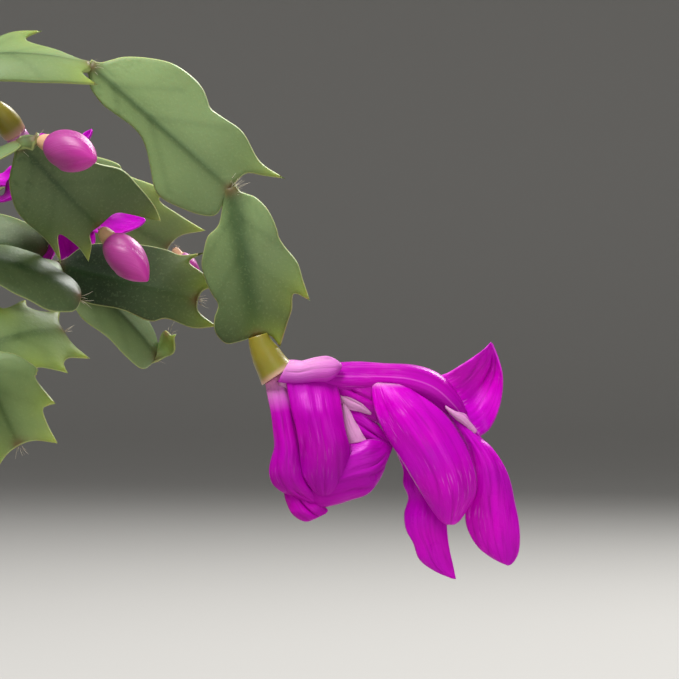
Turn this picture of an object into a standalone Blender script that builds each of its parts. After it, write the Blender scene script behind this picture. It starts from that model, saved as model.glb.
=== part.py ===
"""
Potted Thanksgiving cactus: a clay pot full of potting mix, arching stems of flat toothed
segments, hanging blooms and closed buds.

The scene is in metres with +Z up and its origin in the middle of the pot's foot. The numbers
below are millimetres, and new_object turns them into metres.
"""
import math
import random
from dataclasses import dataclass

import bmesh
import bpy
from mathutils import Vector
from mathutils.bvhtree import BVHTree

MM = 0.001
UP = Vector((0, 0, 1))
TOUCHING_GAP = 0.35

# Pot and potting mix
POT_HEIGHT = 118
FOOT_RADIUS = 44
RIM_RADIUS = 65
BAND_HEIGHT = 26
BAND_STEP = 4
WALL = 5
INNER_STEP = 3
POT_SIDES = 32
DRAIN_HOLES = 4
DRAIN_RADIUS = 5
DRAIN_CIRCLE = 25
DRAIN_TURN = 0.46
SOIL_TOP = 105
SOIL_EDGE = 2
SOIL_FLAT_RADIUS = 40
SOIL_CROWN = 4
HOLE_DEPTH = 12

# Stem segments
STEM_RADIUS = 3.2
STEM_SIDES = 6
STEM_HOLE_RADIUS = 4.0
SEGMENT_THICKNESS = 2.6
OLD_THICKNESS = 3.6
EDGE_THICKNESS = 1.0
NECK_HALF_WIDTH = 3.0
NECK_THICKNESS = 4.0
TIP_THICKNESS = 2.2
CROWN_SHARE = 0.42
BOW = 0.06
PLACED_BOW = 0.02
ALONG_SHIFT = 0.025
OUT_SHIFT = 0.07
SEGMENT_CUP = 0.10
YOUNG_LENGTH = 42
YOUNG_HALF_WIDTH = 12.5
OLD_LENGTH = 35
OLD_HALF_WIDTH = 8.5

# One side of a young segment, from neck to tip: (share of the length, share of the half width).
# A soft tooth, a pointed tooth, and the claw beside the tip.
YOUNG_SIDE = [(0.19, 0.70), (0.32, 0.93), (0.43, 1.02), (0.47, 0.87), (0.79, 1.10), (0.77, 0.82),
              (0.90, 0.72), (1.12, 0.72), (1.0, 0.26)]
OLD_SIDE = [(0.25, 0.85), (0.65, 1.0), (0.94, 0.70), (1.0, 0.34)]

# Sides of the segments that stand out most: (along, out) in millimetres, on the side that the
# width points to and on the other one.
ARM_UPPER_SIDE = [(4.5, 7.6), (10.7, 12.5), (15.5, 14.9), (21.7, 15.7), (25.7, 15.1),
                  (28.8, 13.5), (30.5, 12.6), (34.5, 12.9), (40.8, 13.5), (49.7, 10.7), (57.4, 11.8),
                  (52.7, 8.5), (49.0, 6.0), (48.4, 2.4)]
ARM_LOWER_SIDE = [(3.0, 4.2), (8.9, 5.6), (11.5, 5.4), (18.4, 4.8), (21.7, 5.2),
                  (25.3, 6.9), (28.7, 9.4), (35.0, 13.6), (42.1, 12.3), (48.5, 9.4), (50.2, 7.4),
                  (49.0, 2.0)]
HAND_RIGHT_SIDE = [(2.9, 5.8), (5.7, 8.0), (8.9, 9.3), (12.5, 10.0), (14.4, 10.1),
                   (17.2, 11.2), (21.7, 13.6), (26.6, 14.3), (32.3, 15.1), (29.8, 11.3),
                   (33.8, 10.0), (36.7, 8.4), (42.8, 5.2), (39.3, 2.9)]
HAND_LEFT_SIDE = [(8.5, 5.0), (10.8, 8.2), (14.6, 10.1), (17.9, 11.3),
                  (22.0, 11.0), (26.1, 9.9), (29.0, 8.8), (32.2, 10.4), (35.3, 11.0), (37.5, 10.3),
                  (39.4, 8.6), (39.6, 6.0), (39.3, 2.9)]
CLAW_RIGHT_SIDE = [(8.0, 6.5), (21.5, 11.3), (30.5, 14.9), (35.7, 15.1), (46.4, 14.5),
                   (53.4, 12.9), (43.5, 8.8), (38.4, 5.8), (37.8, 2.6)]
CLAW_LEFT_SIDE = [(7.2, 8.8), (15.3, 12.4), (20.4, 13.0), (32.3, 12.6), (40.4, 14.1),
                  (31.6, 8.9), (38.6, 7.6), (46.0, 8.4), (41.5, 4.6), (37.8, 2.6)]
LOW_UPPER_SIDE = [(4.9, 7.2), (15.0, 10.5), (26.6, 12.0), (30.9, 11.4), (37.6, 13.8),
                  (33.8, 10.0), (38.8, 7.6), (42.6, 5.2), (39.5, 2.6)]
LOW_LOWER_SIDE = [(3.7, 6.4), (10.0, 8.0), (20.0, 7.6), (28.6, 8.6), (32.0, 7.0),
                  (40.0, 7.6), (46.1, 5.4), (41.0, 3.4), (39.5, 2.0)]
STUB_SIDE = [(2.5, 2.3), (5.8, 2.0)]
SHAPES = {
    "arm": (ARM_UPPER_SIDE, ARM_LOWER_SIDE),
    "hand": (HAND_RIGHT_SIDE, HAND_LEFT_SIDE),
    "claw": (CLAW_RIGHT_SIDE, CLAW_LEFT_SIDE),
    "low": (LOW_UPPER_SIDE, LOW_LOWER_SIDE),
    "stub": (STUB_SIDE, STUB_SIDE),
}

# The stems on the +X side, placed by hand. Each has the place of its foot, and its segments as
# (index of the segment before it, or -1, end point, direction of the width, shape).
PLACED_STEMS = [
    ((14, 0), (20, 0, 126), [
        (-1, (26, -2, 163), (0.2, 1, 0), "old"),
        (0, (41, 0, 201), (-0.2, 1, 0.1), "young"),
        (1, (72, 0, 228), (0, 1, 0.15), "young"),
        (2, (109.2, 0, 227.1), (0.05, 1, 0.32), "young"),
        (3, (147.0, 0, 195.2), (0.65, 0.05, 0.76), "arm"),
        (4, (154.1, 0, 156.6), (0.98, -0.05, 0.18), "hand")]),
    ((24, -17), (29, -21, 124), [
        (-1, (42, -24, 157), (-0.2, 1, 0), "old"),
        (0, (66, -24, 186), (0, 1, 0.1), "young"),
        (1, (93.4, -22, 206.2), (0.1, 1, 0.4), "old"),
        (2, (111.9, 4, 185.7), (0.775, -0.02, 0.632), "claw"),
        (2, (98.3, -25.3, 207.1), (0.3, 0.6, 0.7), "stub")]),
    ((22, 14), (27, 18, 126), [
        (-1, (38, 28, 162), (0, 1, 0), "old"),
        (0, (54, 38, 204), (0.1, 1, 0.2), "young"),
        (1, (80, 42, 222), (0.2, 1, 0.3), "old")]),
    ((34, -4), (39, -2, 122), [
        (-1, (54, 4, 150), (0, 1, 0.1), "old"),
        (0, (77, 16, 176), (0, 1, 0.1), "young"),
        (1, (100, 26, 175.6), (0.1, 1, 0.2), "old"),
        (2, (137.6, 20, 166.4), (0.24, 0.25, 0.94), "low"),
        (2, (125, 40, 151), (0.35, 0.65, 0.67), "old")]),
    ((36, -24), (42, -30, 122), [
        (-1, (52, -44, 154), (0, 1, 0), "old"),
        (0, (60, -62, 183), (0.1, 1, 0.3), "young"),
        (1, (80, -90, 191), (0.85, 0.5, 0.1), "young")]),
    ((40, 14), (47, 16, 122), [
        (-1, (61, 12, 144), (0, 1, 0.2), "old"),
        (0, (80, 6, 153), (0.1, 0.9, 0.2), "old"),
        (1, (92, -3, 128), (0.9, -0.1, 0.3), "young"),
        (1, (102, 20, 158), (-0.3, 0.6, 0.75), "young")]),
    ((30, 28), (34, 35, 124), [
        (-1, (42, 56, 155), (-0.3, 1, 0), "old"),
        (0, (60, 80, 186), (-0.2, 1, 0.1), "old"),
        (1, (90, 98, 207), (0, 1, 0.3), "old"),
        (2, (127, 102, 183), (0.66, -0.3, 0.69), "young"),
        (1, (96, 68, 178), (-0.2, 0.45, 0.87), "old")]),
    ((47, -12), (53, -14, 122), [
        (-1, (63, -16, 150), (0, 1, 0), "old"),
        (0, (79, -13, 178), (0, 1, 0.1), "old"),
        (1, (101, -11, 161), (0.4, 0.7, 0.55), "old")]),
]

# The stems that fill the rest of the pot, grown by rule in three tiers: the distance of their feet
# from the middle, the lean of each segment from upright, the share of the full length, the most
# segments that one stem gets, and the direction of each foot in degrees.
TIERS = [
    {"distance": 13, "leans": (5, 24, 48, 78, 112, 142), "length": 1.0, "most": 7,
     "turns": (62, 122, 182, 240, 298)},
    {"distance": 28, "leans": (16, 46, 88, 130), "length": 0.95, "most": 5,
     "turns": (92, 144, 196, 248, 300)},
    {"distance": 38, "leans": (26, 76, 126), "length": 0.82, "most": 4,
     "turns": (72, 120, 172, 224, 274)},
]
GROWTH_SEED = 27
FORK_ANGLE = 38
FORK_CHANCE = 0.55

# How far a grown segment may swing from its rule, in degrees: at first, and more with each attempt
LEAST_SWING = 6
MORE_TURN = 44
MORE_LEAN = 34
LEAST_ROLL = 25
MORE_ROLL = 45
ATTEMPTS = 60
POT_CLEARANCE = 4
PLACING_SWAY = 0.5
CLEAR_HALF_THICKNESS = 2.6
CLEAR_START = 3
CLAW_SHARE = 0.14
RISE_TO_JOINT = 17
REACH_LIMIT = 160

# Grown segments and flowers leave the space at greater x to the stems placed by hand
SEGMENT_SIDE = 68
FLOWER_SIDE = 58

# The ovary and the petals of the large hanging bloom, from the tip of the segment that carries it:
# (x, y, z, radius or half width). The rows of a petal run from its root to its pointed end.
OVARY_END = (5.4, 0, -10.0)
TUBE_RINGS = [(5.7, 0, -10.6, 4.6), (13.6, 0, -11.8, 4.4), (24.1, 0, -11.8, 4.3),
              (37.2, 0, -12.3, 4.6), (47.2, 0, -15.5, 4.2)]
FRONT_PETALS = [
    [(9.5, -2.0, -9.0, 2.0), (13.1, -4.2, -7.4, 2.6), (18.3, -4.2, -7.0, 2.3), (21.9, -4.0, -7.3, 0)],
    [(21.5, -2.0, -12.3, 2.1), (30.7, -7.0, -16.5, 6.3), (42.4, -10.0, -24.9, 9.2),
     (49.3, -10.5, -36.4, 8.9), (51.4, -9.0, -44.8, 5.0), (51.9, -8.0, -49.0, 0)],
    [(46.0, 0, -14.9, 3.1), (53.4, 1.0, -15.5, 6.8), (58.7, 2.0, -13.4, 8.9), (61.6, 2.0, -7.6, 3.9),
     (61.0, 1.0, -1.6, 0)],
    [(46.3, -1.0, -16.1, 2.1), (56.6, -3.0, -27.0, 4.5), (60.3, -4.0, -40.1, 6.3),
     (62.1, -3.0, -51.1, 6.5), (64.7, -2.0, -57.4, 3.1), (65.8, -2.0, -60.0, 0)],
    [(45.6, 1.0, -16.0, 2.1), (43.8, 3.0, -27.0, 3.4), (41.9, 2.0, -38.0, 3.9),
     (43.8, 1.0, -47.9, 5.8), (46.1, 0, -56.1, 4.5), (51.9, 0, -63.7, 0)],
    [(7.5, -1.5, -12.3, 2.6), (8.6, -6.0, -21.7, 5.2), (8.9, -7.0, -32.2, 5.8), (9.4, -6.0, -40.6, 4.5),
     (11.0, -4.0, -44.8, 0)],
    [(13.1, -2.0, -12.3, 3.1), (16.8, -8.0, -23.1, 5.2), (17.6, -10.0, -34.3, 6.5),
     (15.2, -9.0, -43.5, 4.2), (13.1, -7.0, -48.2, 0)],
    [(17.8, -1.0, -12.8, 2.4), (21.0, -6.0, -24.5, 3.7), (25.5, -8.0, -33.0, 5.0), (31.5, -7.0, -36.5, 0)],
    [(19.9, -3.0, -12.3, 1.6), (25.8, -7.0, -19.5, 3.4), (31.5, -8.0, -25.5, 3.0), (35.4, -7.0, -29.0, 0)],
]
BACK_PETALS = [
    [(24.0, 2.0, -12.5, 2.1), (33.0, 7.5, -18.0, 6.0), (42.0, 10.0, -27.0, 8.0), (46.0, 9.0, -38.0, 6.0),
     (47.0, 8.0, -45.0, 0)],
    [(8.5, 2.0, -12.0, 2.6), (11.0, 7.5, -23.0, 5.2), (13.0, 10.0, -34.0, 6.0), (14.0, 9.0, -43.0, 3.5),
     (14.0, 8.0, -47.0, 0)],
    [(17.0, 2.0, -12.3, 2.6), (21.0, 7.5, -23.0, 4.6), (24.0, 10.0, -34.0, 5.0), (26.0, 9.0, -42.0, 0)],
]
HANGING_CUP = 1.6
LARGE_OVARY_PROFILE = [(0.0, 2.1), (4.0, 3.1)]
LARGE_OVARY_RADIUS = 4.5

# Every other bloom, by rule. Each of its two tiers of petals has a length, a half width, a flare at
# the root and a curl towards the end in degrees. Faded blooms sag more than fresh ones.
LOWER_PETALS = {"length": 23, "half": 5.0, "flare": 36, "curl": 95}
MOUTH_PETALS = {"length": 29, "half": 6.4, "flare": 30, "curl": 78}
TUBE_LENGTH = 29
TUBE_BASE_RADIUS = 3.1
LOWER_TIER = 8.0
LOWER_RADIUS = 4.0
MOUTH_RADIUS = 5.0
FADED_SAG = 0.55
FRESH_SAG = 0.06
LESS_SAG = 0.9
PETAL_SHARES = (0.0, 0.35, 0.72, 1.0)
PETAL_WIDTHS = (1.0, 0.85, 0.0)
PETAL_SWAY = 5
STYLE_PROFILE = [(0, 0.8), (24, 0.7), (26.5, 1.1)]
PLATE_RADIUS = 3.2
PLATE_THICKNESS = 1.0
PETAL_THICKNESS = 0.8
PETAL_CUP = 1.2
TUBE_SIDES = 8
PETAL_SECTORS = 10
OVARY_PROFILE = [(0.0, 2.1), (3.5, 3.2), (10.2, 3.4)]
PERIANTH_START = 10.6
STAMENS = 6
STAMEN_PROFILE = [(0, 0.5), (16, 0.45), (17, 1.0), (18.6, 0.5)]
STAMEN_SPACING = 2.0
STAMEN_RISE = 1.8
STAMEN_SPREAD = 0.28
STAMEN_LIFT = 0.34
STAMEN_FAN = 0.2

# Carriers of the blooms and buds placed by hand: ((stem, segment), direction, fresh or size)
LARGE_BLOOM_AT = (0, 5)
PLACED_BLOOMS = [((2, 2), (0.5, 0.45, -0.74), False)]
PLACED_BUDS = [((1, 4), (0.68, -0.68, -0.26), 0.88), ((1, 3), (0.6, -0.42, -0.64), 0.82),
               ((6, 3), (0.6, 0.1, -0.8), 0.5)]
GROWN_BLOOMS = 5
GROWN_BUDS = 10
BUD_SCALES = (0.6, 1.05)
BLOOM_FALL = 0.35
BUD_FALL = 0.15
LEAST_SWAY = 0.1
MORE_SWAY = 0.7
BUD_PROFILE = [(0.0, 2.0), (4.6, 2.9), (8.2, 5.0), (14.0, 5.9), (20.0, 4.3), (25.0, 0.0)]
BUD_SIDES = 8

# Room kept free round each flower: length and half width of a box
OVARY_BOX = (8, 3)
LARGE_BOX = (74, 20)
BLOOM_BOX = (72, 17)
BUD_BOX = (28, 7)

COLOURS = {
    "clay": ((0.52, 0.24, 0.13, 1), 0.85),
    "soil": ((0.06, 0.04, 0.03, 1), 0.95),
    "stem": ((0.22, 0.36, 0.15, 1), 0.5),
    "petal": ((0.62, 0.01, 0.55, 1), 0.45),
    "ovary": ((0.55, 0.52, 0.12, 1), 0.5),
    "stamen": ((0.9, 0.88, 0.7, 1), 0.5),
    "bud": ((0.8, 0.25, 0.55, 1), 0.45),
}


def material(name):
    colour, roughness = COLOURS[name]
    made = bpy.data.materials.get(name) or bpy.data.materials.new(name)
    made.use_nodes = True
    shader = made.node_tree.nodes["Principled BSDF"]
    shader.inputs["Base Color"].default_value = colour
    shader.inputs["Roughness"].default_value = roughness
    shader.inputs["Metallic"].default_value = 0
    return made


def new_object(name, mesh_mm, colour):
    """An object from a bmesh in millimetres, with its faces pointing out."""
    bmesh.ops.recalc_face_normals(mesh_mm, faces=mesh_mm.faces)
    bmesh.ops.scale(mesh_mm, vec=(MM, MM, MM), verts=mesh_mm.verts)
    mesh = bpy.data.meshes.new(name)
    mesh_mm.to_mesh(mesh)
    mesh_mm.free()
    mesh.materials.append(material(colour))
    made = bpy.data.objects.new(name, mesh)
    bpy.context.scene.collection.objects.link(made)
    return made


def evaluated_mesh(made):
    bpy.context.view_layer.update()
    shown = made.evaluated_get(bpy.context.evaluated_depsgraph_get())
    return bpy.data.meshes.new_from_object(shown)


def fused(name, solids, colour):
    """One body from a list of bmeshes that run into each other."""
    objects = [new_object(name, solid, colour) for solid in solids]
    whole = objects[0]
    if len(objects) == 1:
        return whole
    others = bpy.data.collections.new(name)
    for made in objects[1:]:
        others.objects.link(made)
    union = whole.modifiers.new("union", "BOOLEAN")
    union.operation = "UNION"
    union.operand_type = "COLLECTION"
    union.collection = others
    joined = evaluated_mesh(whole)
    whole.modifiers.clear()
    whole.data = joined
    for made in objects[1:]:
        bpy.data.objects.remove(made)
    bpy.data.collections.remove(others)
    return whole


# Solids of revolution

def turned(profile, sides):
    """Spin a profile of (radius, height) points that starts and ends on the axis."""
    solid = bmesh.new()
    points = [solid.verts.new((radius, 0, height)) for radius, height in profile]
    edges = [solid.edges.new(pair) for pair in zip(points, points[1:])]
    bmesh.ops.spin(solid, geom=points + edges, cent=(0, 0, 0), axis=(0, 0, 1),
                   angle=math.tau, steps=sides, use_merge=True)
    bmesh.ops.remove_doubles(solid, verts=solid.verts, dist=0.001)
    return solid


def rings_solid(rings):
    """A closed solid through rings of points. A ring of one point is a tip."""
    solid = bmesh.new()
    rows = [[solid.verts.new(point) for point in ring] for ring in rings]
    for lower, upper in zip(rows, rows[1:]):
        count = max(len(lower), len(upper))
        for k in range(count):
            a, b = lower[k % len(lower)], lower[(k + 1) % len(lower)]
            c, d = upper[(k + 1) % len(upper)], upper[k % len(upper)]
            corners = list(dict.fromkeys([a, b, c, d]))
            solid.faces.new(corners)
    for end in (rows[0], rows[-1]):
        if len(end) > 2:
            solid.faces.new(end)
    return solid


def ring_round(centre, axis, radius, sides):
    if radius == 0:
        return [centre]
    side = axis.orthogonal().normalized()
    other = axis.cross(side).normalized()
    turns = [math.tau * k / sides for k in range(sides)]
    return [centre + radius * (side * math.cos(t) + other * math.sin(t)) for t in turns]


def spindle(start, axis, profile, sides):
    """A straight round solid along an axis, from (along, radius) pairs."""
    return rings_solid([ring_round(start + axis * along, axis, radius, sides)
                        for along, radius in profile])


def strip(near, far):
    """Triangles between two rows of points, which may differ in count."""
    triangles = []
    i, j = 0, 0
    while i < len(near) - 1 or j < len(far) - 1:
        behind = (j + 1) * len(near) <= (i + 1) * len(far)
        if j < len(far) - 1 and (behind or i == len(near) - 1):
            triangles.append((near[i], far[j], far[j + 1]))
            j += 1
        else:
            triangles.append((near[i], far[j], near[i + 1]))
            i += 1
    return triangles


def make_pot():
    band = POT_HEIGHT - BAND_HEIGHT
    slope = (RIM_RADIUS - BAND_STEP - FOOT_RADIUS) / band
    outside = [(0, 0), (FOOT_RADIUS, 0), (FOOT_RADIUS + slope * band, band),
               (RIM_RADIUS - 1, band + 1), (RIM_RADIUS, POT_HEIGHT)]
    inside = [(RIM_RADIUS - WALL, POT_HEIGHT), (RIM_RADIUS - WALL - INNER_STEP, band),
              (FOOT_RADIUS - WALL, WALL), (0, WALL)]
    pot = new_object("pot", turned(outside + inside, POT_SIDES), "clay")
    turns = [math.tau * (k + DRAIN_TURN) / DRAIN_HOLES for k in range(DRAIN_HOLES)]
    centres = [(DRAIN_CIRCLE * math.cos(turn), DRAIN_CIRCLE * math.sin(turn)) for turn in turns]
    drill(pot, new_object("drain_holes", upright_holes(centres, DRAIN_RADIUS, -WALL, 2 * WALL), "clay"))


def drill(whole, cutter):
    cutter.hide_render = True
    cutter.display_type = "WIRE"
    cut = whole.modifiers.new("cut", "BOOLEAN")
    cut.operation = "DIFFERENCE"
    cut.object = cutter


def make_soil(feet):
    gap = TOUCHING_GAP
    band = POT_HEIGHT - BAND_HEIGHT
    edge = SOIL_TOP - SOIL_EDGE
    band_radius = RIM_RADIUS - WALL - INNER_STEP
    edge_radius = band_radius + INNER_STEP * (edge - band) / BAND_HEIGHT
    profile = [(0, WALL + gap), (FOOT_RADIUS - WALL - 2 * gap, WALL + gap),
               (band_radius - 2 * gap, band), (edge_radius - 2 * gap, edge),
               (SOIL_FLAT_RADIUS, SOIL_TOP), (0, SOIL_TOP + SOIL_CROWN)]
    soil = new_object("potting_mix", turned(profile, POT_SIDES), "soil")
    holes = upright_holes(feet, STEM_HOLE_RADIUS, SOIL_TOP - HOLE_DEPTH, SOIL_TOP + 3 * SOIL_CROWN)
    drill(soil, new_object("stem_holes", holes, "soil"))


def upright_holes(centres, radius, lowest, highest):
    """A cutter with one upright prism for each hole."""
    holes = bmesh.new()
    for x, y in centres:
        lower, upper = [upright_ring(holes, x, y, height, radius) for height in (lowest, highest)]
        holes.faces.new(lower)
        holes.faces.new(upper)
        for corners in strip(lower + lower[:1], upper + upper[:1]):
            holes.faces.new(corners)
    return holes


def upright_ring(solid, x, y, height, radius):
    """A level ring of points of a stem or of a hole."""
    return [solid.verts.new(point) for point in ring_round(Vector((x, y, height)), UP, radius, STEM_SIDES)]


# Flat segments

@dataclass
class Segment:
    """One flat joint of a stem, between its neck (root) and its tip."""
    root: Vector
    tip: Vector
    across: Vector
    right: list
    left: list
    thickness: float
    bow: float
    level: int = 0
    parent: object = None

    def __post_init__(self):
        self.length = (self.tip - self.root).length
        self.direction = (self.tip - self.root).normalized()
        self.across = (self.across - self.direction * self.across.dot(self.direction)).normalized()
        self.normal = self.direction.cross(self.across)
        self.half = max(out for _, out in self.right)

    def point(self, along, out):
        """A point on the middle surface. The segment arches along and sags to its sides."""
        share = along / self.length
        rise = self.bow * 4 * share * (1 - share) - SEGMENT_CUP * out * out / self.half
        return self.root + self.direction * along + self.across * out + self.normal * rise


def side_points(shape, length, half, rng):
    """The outline of one side in millimetres, a little different on each segment."""
    sides = []
    for along, out in shape:
        if along < 1:
            along += rng.uniform(-ALONG_SHIFT, ALONG_SHIFT)
            out *= rng.uniform(1 - OUT_SHIFT, 1 + OUT_SHIFT)
        sides.append((along * length, out * half))
    return sides


def new_segment(root, tip, across, shape, rng, level=0, parent=None):
    length = (tip - root).length
    if shape in SHAPES:
        right, left = SHAPES[shape]
        return Segment(root, tip, across, right, left, SEGMENT_THICKNESS, PLACED_BOW * length, level, parent)
    old = shape == "old"
    half = OLD_HALF_WIDTH if old else YOUNG_HALF_WIDTH * rng.uniform(1 - OUT_SHIFT, 1 + OUT_SHIFT)
    outline = OLD_SIDE if old else YOUNG_SIDE
    right = side_points(outline, length, half, rng)
    left = side_points(outline, length, half, rng)
    thickness = OLD_THICKNESS if old else SEGMENT_THICKNESS
    return Segment(root, tip, across, right, left, thickness, BOW * length, level, parent)


def add_pair(solid, middle, lift):
    """Two points of a thin sheet, one on each of its faces."""
    return solid.verts.new(middle + lift), solid.verts.new(middle - lift)


def sheet_pair(solid, segment, along, out, thickness):
    return add_pair(solid, segment.point(along, out), segment.normal * thickness / 2)


def side_pairs(solid, segment, outline, sign):
    pairs = [sheet_pair(solid, segment, along, sign * out, EDGE_THICKNESS) for along, out in outline[:-1]]
    along, out = outline[-1]
    return pairs + [sheet_pair(solid, segment, along, sign * out, TIP_THICKNESS)]


def add_both_faces(solid, corners):
    solid.faces.new([corner[0] for corner in corners])
    solid.faces.new([corner[1] for corner in reversed(corners)])


def add_wall(solid, one, following):
    """The narrow edge of a sheet between two of its pairs."""
    solid.faces.new((one[0], one[1], following[0]))
    solid.faces.new((one[1], following[1], following[0]))


def add_segment(solid, segment, neck, forked):
    """Add a flat segment that goes on from the two pairs of its neck, thickest at its crown.

    Returns the pairs across its open tip."""
    crown = sheet_pair(solid, segment, CROWN_SHARE * segment.length, 0, segment.thickness)
    border = [neck[0]] + side_pairs(solid, segment, segment.left, -1)
    if forked:
        border.append(sheet_pair(solid, segment, segment.length, 0, TIP_THICKNESS))
    border += side_pairs(solid, segment, segment.right, 1)[::-1] + [neck[1]]
    for one, following in zip(border, border[1:] + border[:1]):
        add_both_faces(solid, (crown, one, following))
    tip_start = len(segment.left)
    tip_end = tip_start + (2 if forked else 1)
    for k in list(range(tip_start)) + list(range(tip_end, len(border) - 1)):
        add_wall(solid, border[k], border[k + 1])
    return border[tip_start:tip_end + 1]


def turned_neck(opening, segment):
    """The four points of an open tip, paired again to suit the faces of the segment that goes on."""
    left, right = opening
    ring = [right[0], left[0], left[1], right[1]]
    middle = sum((point.co for point in ring), Vector()) / len(ring)
    wanted = [segment.across + segment.normal, segment.normal - segment.across,
              -segment.across - segment.normal, segment.across - segment.normal]

    def fit(turn):
        return sum((ring[(k + turn) % 4].co - middle).dot(wanted[k]) for k in range(4))

    turn = max(range(4), key=fit)
    ring = ring[turn:] + ring[:turn]
    return (ring[1], ring[2]), (ring[0], ring[3])


def add_branch(solid, stem, segment, opening):
    """Add a segment and all that grows from its tip."""
    children = [other for other in stem["segments"] if other.parent is segment]
    children.sort(key=lambda child: child.direction.dot(segment.across))
    ends = add_segment(solid, segment, turned_neck(opening, segment), len(children) == 2)
    openings = list(zip(ends, ends[1:]))
    for child, free in zip(children, openings):
        add_branch(solid, stem, child, free)
    if not children:
        add_wall(solid, *openings[0])


def add_foot(solid, foot, segment):
    """The round woody foot of a stem, from its hole up to the neck of its first segment."""
    x, y = foot
    lower, upper = [upright_ring(solid, x, y, height, STEM_RADIUS)
                    for height in (SOIL_TOP - HOLE_DEPTH + TOUCHING_GAP, SOIL_TOP + SOIL_CROWN + 1)]
    left = sheet_pair(solid, segment, 0, -NECK_HALF_WIDTH, NECK_THICKNESS)
    right = sheet_pair(solid, segment, 0, NECK_HALF_WIDTH, NECK_THICKNESS)
    neck = [right[0], left[0], left[1], right[1]]
    nearest = max(range(4), key=lambda k: (neck[k].co - segment.root).dot(upper[0].co - Vector((x, y, 0))))
    neck = neck[nearest:] + neck[:nearest]
    solid.faces.new(lower)
    for near, far in ((lower, upper), (upper, neck)):
        for corners in strip(near + near[:1], far + far[:1]):
            solid.faces.new(corners)
    return left, right


def stem_solid(stem):
    solid = bmesh.new()
    first = stem["segments"][0]
    add_branch(solid, stem, first, add_foot(solid, stem["foot"], first))
    return solid


# Clearance between pieces

def box_tree(centre_line, across, normal, half_width, half_thickness):
    start, end = centre_line
    corners = []
    for place in (start, end):
        for side in (-1, 1):
            for face in (-1, 1):
                corners.append(place + across * half_width * side + normal * half_thickness * face)
    faces = [(0, 1, 3, 2), (4, 6, 7, 5), (0, 4, 5, 1), (2, 3, 7, 6), (0, 2, 6, 4), (1, 5, 7, 3)]
    return BVHTree.FromPolygons(corners, faces), corners


def segment_tree(segment):
    """A box round a segment with room to spare, from past its neck to its claws."""
    middle = segment.normal * segment.bow / 2
    start = segment.root + segment.direction * CLEAR_START + middle
    end = segment.tip + segment.direction * CLAW_SHARE * segment.length + middle
    return box_tree((start, end), segment.across, segment.normal, segment.half * 1.1,
                    CLEAR_HALF_THICKNESS + segment.bow / 2)


def crosses_itself(solid):
    """Whether two faces of a solid that share no corner run through each other."""
    solid.faces.ensure_lookup_table()
    tree = BVHTree.FromBMesh(solid)
    corners = [set(face.verts) for face in solid.faces]
    return any(one < other and not corners[one] & corners[other] for one, other in tree.overlap(tree))


def clear_of_pot(corners):
    """Whether points keep off the ground, the rim, the wall and the potting mix."""
    for corner in corners:
        distance = math.hypot(corner.x, corner.y)
        beside = distance > RIM_RADIUS + POT_CLEARANCE
        within = distance < RIM_RADIUS - 3 * POT_CLEARANCE and corner.z > SOIL_TOP + 2 * POT_CLEARANCE
        above = corner.z > POT_HEIGHT + POT_CLEARANCE
        if corner.z < POT_CLEARANCE or not (beside or within or above):
            return False
    return True


class Plant:
    """All the pieces so far, with the boxes that later pieces must keep clear of."""

    def __init__(self):
        self.stems = []
        self.flowers = []
        self.boxes = []

    def add_box(self, tree, owner):
        self.boxes.append((tree, owner))

    def is_clear(self, tree, relatives):
        for other, owner in self.boxes:
            if all(owner is not relative for relative in relatives) and tree.overlap(other):
                return False
        return True


def relatives_of(segment, stem):
    near = [segment.parent] if segment.parent else []
    return near + [other for other in stem["segments"] if other.parent is segment.parent]


def place_stems(plant, rng):
    for foot, joint, plan in PLACED_STEMS:
        stem = {"foot": foot, "joint": Vector(joint), "segments": []}
        plant.stems.append(stem)
        for before, tip, across, shape in plan:
            parent = stem["segments"][before] if before >= 0 else None
            segment = place_segment(plant, stem, parent, Vector(tip), Vector(across), shape, rng)
            plant.add_box(segment_tree(segment)[0], segment)


def place_segment(plant, stem, parent, tip, across, shape, rng):
    """A segment that ends at a given point, or near it if it would run into its own stem there."""
    root = parent.tip if parent else stem["joint"]
    level = parent.level + 1 if parent else 0
    for attempt in range(ATTEMPTS):
        sway = 0 if shape in SHAPES else PLACING_SWAY * attempt / ATTEMPTS
        moved_tip = tip + shaken(rng) * sway * (tip - root).length
        segment = new_segment(root, moved_tip, across + shaken(rng) * sway, shape, rng, level, parent)
        stem["segments"].append(segment)
        if not crosses_itself(stem_solid(stem)):
            return segment
        stem["segments"].pop()
    stem["segments"].append(segment)
    return segment


def shaken(rng):
    return Vector((rng.uniform(-1, 1), rng.uniform(-1, 1), rng.uniform(-1, 1)))


def direction_of(turn, lean):
    turn, lean = math.radians(turn), math.radians(lean)
    return Vector((math.cos(turn) * math.sin(lean), math.sin(turn) * math.sin(lean), math.cos(lean)))


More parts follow.
